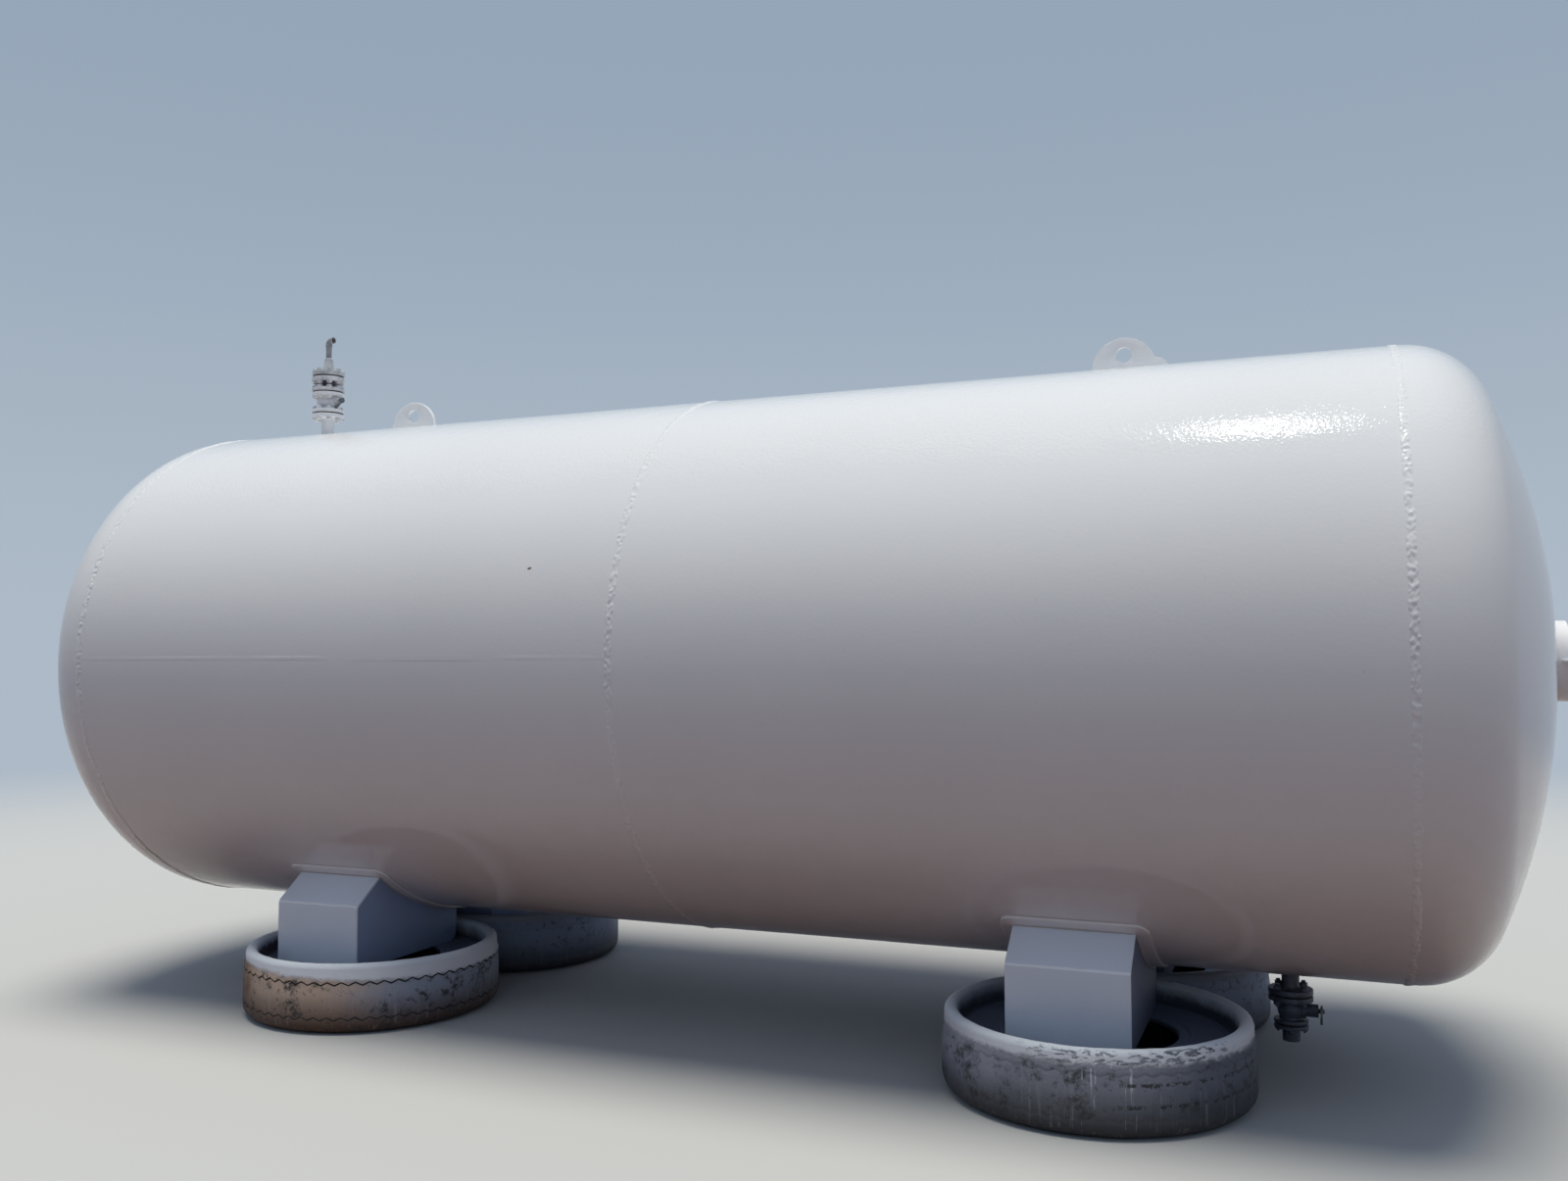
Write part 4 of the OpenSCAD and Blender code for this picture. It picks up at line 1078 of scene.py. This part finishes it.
def elbow():
    """The screwed elbow: a ring pulled up the socket, round the bend, out to the mouth and back inside."""
    start = Vector((RELIEF_X, 0, SHELL_TOP + SOCKET_H))
    here = {"centre": start, "up": UP.copy(), "radius": SOCKET_HOLE_R}
    nothing_selected()
    bpy.ops.mesh.primitive_circle_add(
        vertices=ELBOW_SIDES, radius=SOCKET_HOLE_R * MM, location=start * MM
    )
    piece = bpy.context.object
    bpy.ops.object.transform_apply(location=True, rotation=True, scale=True)
    piece.name = "vent_elbow"
    edit(piece)

    def pull(forward, radius):
        step = here["up"] * forward
        bpy.ops.mesh.extrude_edges_move(TRANSFORM_OT_translate={"value": step * MM})
        here["centre"] = here["centre"] + step
        share = radius / here["radius"]
        bpy.ops.transform.resize(value=(share, share, share), center_override=here["centre"] * MM)
        here["radius"] = radius

    def bend(angle, pivot):
        bpy.ops.mesh.extrude_edges_move(TRANSFORM_OT_translate={"value": (0, 0, 0)})
        bpy.ops.transform.rotate(value=-angle, orient_axis="Y", center_override=pivot * MM)
        turn = Matrix.Rotation(angle, 3, "Y")
        here["centre"] = pivot + turn @ (here["centre"] - pivot)
        here["up"] = turn @ here["up"]

    bead = SOCKET_R - 0.8
    socket = ((0, bead), (0.8, SOCKET_R), (7.4, SOCKET_R), (0.8, bead), (0, ELBOW_R + 0.15), (1, ELBOW_R))
    for forward, radius in socket:
        pull(forward, radius)
    pivot = here["centre"] + ALONG * BEND_R
    for _ in range(BEND_STEPS):
        bend(math.radians(90) / BEND_STEPS, pivot)
    for forward, radius in ((0, bead), (0.8, SOCKET_R), (8.4, SOCKET_R), (0.8, bead), (0, 13.1)):
        pull(forward, radius)
    for forward, radius in ((-0.7, MOUTH_HOLE_R), (-9.3, MOUTH_HOLE_R), (0, VENT_BORE_R)):
        pull(forward, radius)
    for _ in range(BEND_STEPS):
        bend(math.radians(-90) / BEND_STEPS, pivot)
    pull(0, SOCKET_HOLE_R)
    pull(-10, SOCKET_HOLE_R)
    bpy.ops.mesh.select_all(action="SELECT")
    bpy.ops.mesh.remove_doubles(threshold=0.02 * MM)
    bpy.ops.mesh.normals_make_consistent(inside=False)
    done()
    return placed(piece, GREY, nodes=["vent_elbow"])


elbow()


# Drain

drain_piece("drain_nozzle", [
    (-40, PIPE_R), (62, PIPE_R), (65, 31.5), (70, 37), (70, FLANGE_R), (87.5, FLANGE_R),
    (87.5, FLANGE_FACE_R), (89, FLANGE_FACE_R), (89, PIPE_BORE_R), (-40, PIPE_BORE_R),
], DRAIN_PRIMER_AND_SHADE, ["drain_nozzle"])
drain_piece("drain_gaskets", [
    (89.3, 27), (89.3, 71), (92.7, 71), (92.7, 27),
], BLACK, ["drain_gaskets"], 0.8)
drain_piece("drain_gasket_low", [
    (192.3, 28), (192.3, 53.5), (195.7, 53.5), (195.7, 28),
], BLACK, ease=0.8)
drain_piece("drain_valve", [
    (93, PIPE_BORE_R), (93, FLANGE_FACE_R), (94.5, FLANGE_FACE_R), (94.5, FLANGE_R),
    (112, FLANGE_R), (112, 43), (115, 39.3),
] + arc((145, -2.14), 48.14, -31, 31, 10) + [
    (175, 39.3), (178, 42), (178, TAIL_FLANGE_R), (190.5, TAIL_FLANGE_R),
    (190.5, TAIL_FACE_R), (192, TAIL_FACE_R), (192, PIPE_BORE_R),
], DRAIN_PRIMER_AND_SHADE, ["drain_valve"])
drain_piece("drain_tail", [
    (196, TAIL_BORE_R), (196, TAIL_FACE_R), (197.5, TAIL_FACE_R), (197.5, TAIL_FLANGE_R),
    (210, TAIL_FLANGE_R), (210, 34), (213, PIPE_R), (256, PIPE_R), (256, TAIL_BORE_R),
], DRAIN_PRIMER_AND_SHADE, ["drain_tail"])


# Nozzle roots

ROOT_R = 33


def root_weld(name, x, side):
    """The bead round a pipe, where it leaves the shell."""
    points = []
    for k in range(48):
        a = math.tau * k / 48
        px, py = ROOT_R * math.cos(a), ROOT_R * math.sin(a)
        points.append((x + px, py, AXIS_Z + side * math.sqrt((SHELL_R + 2) ** 2 - py * py)))
    placed(weld_bead(name, points, 6, closed=True), WHITE_WELD, angle=60)


root_weld("relief_root_weld", RELIEF_X, 1)
root_weld("drain_root_weld", DRAIN_X, -1)


# Gauge collar

collar = turned("gauge_collar", eased([
    (-8, COLLAR_R), (COLLAR_H, COLLAR_R), (COLLAR_H, COLLAR_BORE_R), (-8, COLLAR_BORE_R),
], 1.6), (CROWN_X, 0, AXIS_Z), ALONG, 128)
placed(collar, WHITE_FITTING, nodes=["gauge_collar"])
weld_r = COLLAR_R + 1.5
collar_line = []
for k in range(90):
    a = math.tau * k / 90
    collar_line.append((CROWN_X - 3, weld_r * math.cos(a), AXIS_Z + weld_r * math.sin(a)))
placed(weld_bead("collar_weld", collar_line, 5, closed=True), WHITE_WELD, angle=60)
placed(softened("gauge_flange", 0.8), GREY, nodes=["gauge_flange"])
placed(softened("gauge_hinge_lugs", 1.2), WHITE_FITTING, nodes=["gauge_hinge_lugs"])


# Floor, light and camera

BACKDROP_LOW = (0.42, 0.49, 0.57, 1)
BACKDROP_HIGH = (0.3, 0.38, 0.48, 1)
SKY_LIGHT = (0.28, 0.36, 0.48, 1)
HORIZON_LIGHT = (0.18, 0.22, 0.29, 1)
GROUND_LIGHT = (0.15, 0.1, 0.085, 1)
FLOOR_PALE = (0.5, 0.5, 0.495, 1)
FLOOR_BOUNCE = (0.17, 0.105, 0.085, 1)
FLOOR_R = 17
FLOOR_FADE = (6.0, 16.0)
CAMERA_PLACE = (2.2949, -5.1359, 1.4674)
CAMERA_TURN = 0.3880
CAMERA_TILT = 0.0488
CAMERA_ROLL = -0.0028


def seen_rays(tree):
    """The camera, and what metal and glass mirror."""
    rays = add_node(tree, "ShaderNodeLightPath").outputs
    seen = maths(tree, "ADD", rays["Is Camera Ray"], rays["Is Glossy Ray"], clamp=True)
    return maths(tree, "ADD", seen, rays["Is Transmission Ray"], clamp=True)


def floor_material():
    material = bpy.data.materials.new("pale_floor")
    material.use_nodes = True
    tree = material.node_tree
    tree.nodes.clear()
    reach = add_node(tree, "ShaderNodeVectorMath", {0: object_place(tree)}, operation="LENGTH")
    pale = add_node(tree, "ShaderNodeBsdfDiffuse", {"Color": FLOOR_PALE}).outputs[0]
    bounce = add_node(tree, "ShaderNodeBsdfDiffuse", {"Color": FLOOR_BOUNCE}).outputs[0]
    ground = add_node(tree, "ShaderNodeMixShader", {0: seen_rays(tree), 1: bounce, 2: pale}).outputs[0]
    clear = add_node(tree, "ShaderNodeBsdfTransparent").outputs[0]
    faded = ramp(tree, reach.outputs["Value"], *FLOOR_FADE)
    shown = add_node(tree, "ShaderNodeMixShader", {0: faded, 1: ground, 2: clear}).outputs[0]
    add_node(tree, "ShaderNodeOutputMaterial", {"Surface": shown})
    return material


nothing_selected()
bpy.ops.mesh.primitive_circle_add(vertices=96, radius=FLOOR_R, fill_type="NGON", location=(0, 0, 0))
floor = bpy.context.object
floor.name = "floor"
floor.data.materials.append(floor_material())

world = bpy.data.worlds.new("studio")
bpy.context.scene.world = world
world.use_nodes = True
studio = world.node_tree
studio.nodes.clear()
rise = axes_of(studio, add_node(studio, "ShaderNodeTexCoord").outputs["Generated"])["Z"]
soft_light = mixed(studio, ramp(studio, rise, 0.0, 0.5), HORIZON_LIGHT, SKY_LIGHT)
soft_light = mixed(studio, ramp(studio, rise, -0.08, 0.02), GROUND_LIGHT, soft_light)
backdrop = mixed(studio, ramp(studio, rise, 0.0, 0.45), BACKDROP_LOW, BACKDROP_HIGH)
shown = mixed(studio, seen_rays(studio), soft_light, backdrop)
background = add_node(studio, "ShaderNodeBackground", {"Color": shown, "Strength": 1.0})
add_node(studio, "ShaderNodeOutputWorld", {"Surface": background.outputs[0]})

bpy.ops.object.light_add(type="SUN", location=(0, -0.6, 9))
overhead = bpy.context.object
overhead.name = "overhead_light"
overhead.data.energy = 3.05
overhead.data.angle = math.radians(30)
overhead.data.color = (1.0, 0.955, 0.84)
overhead.rotation_euler = (math.radians(1.5), 0, 0)
overhead.visible_glossy = False

bpy.ops.object.light_add(type="AREA", location=(1.8, -0.65, 10.0))
glint = bpy.context.object
glint.name = "glint_light"
glint.data.shape = "RECTANGLE"
glint.data.size = 0.85
glint.data.size_y = 0.8
glint.data.energy = 60
glint.visible_diffuse = False
glint.visible_camera = False

camera = bpy.data.objects.new("camera", bpy.data.cameras.new("camera"))
bpy.context.scene.collection.objects.link(camera)
camera.data.sensor_width = 36
camera.data.lens = 30.32
camera.matrix_world = (
    Matrix.Translation(CAMERA_PLACE)
    @ Matrix.Rotation(CAMERA_TURN, 4, "Z")
    @ Matrix.Rotation(math.pi / 2 + CAMERA_TILT, 4, "X")
    @ Matrix.Rotation(CAMERA_ROLL, 4, "Z")
)
bpy.context.scene.camera = camera
bpy.context.scene.view_settings.view_transform = "Standard"
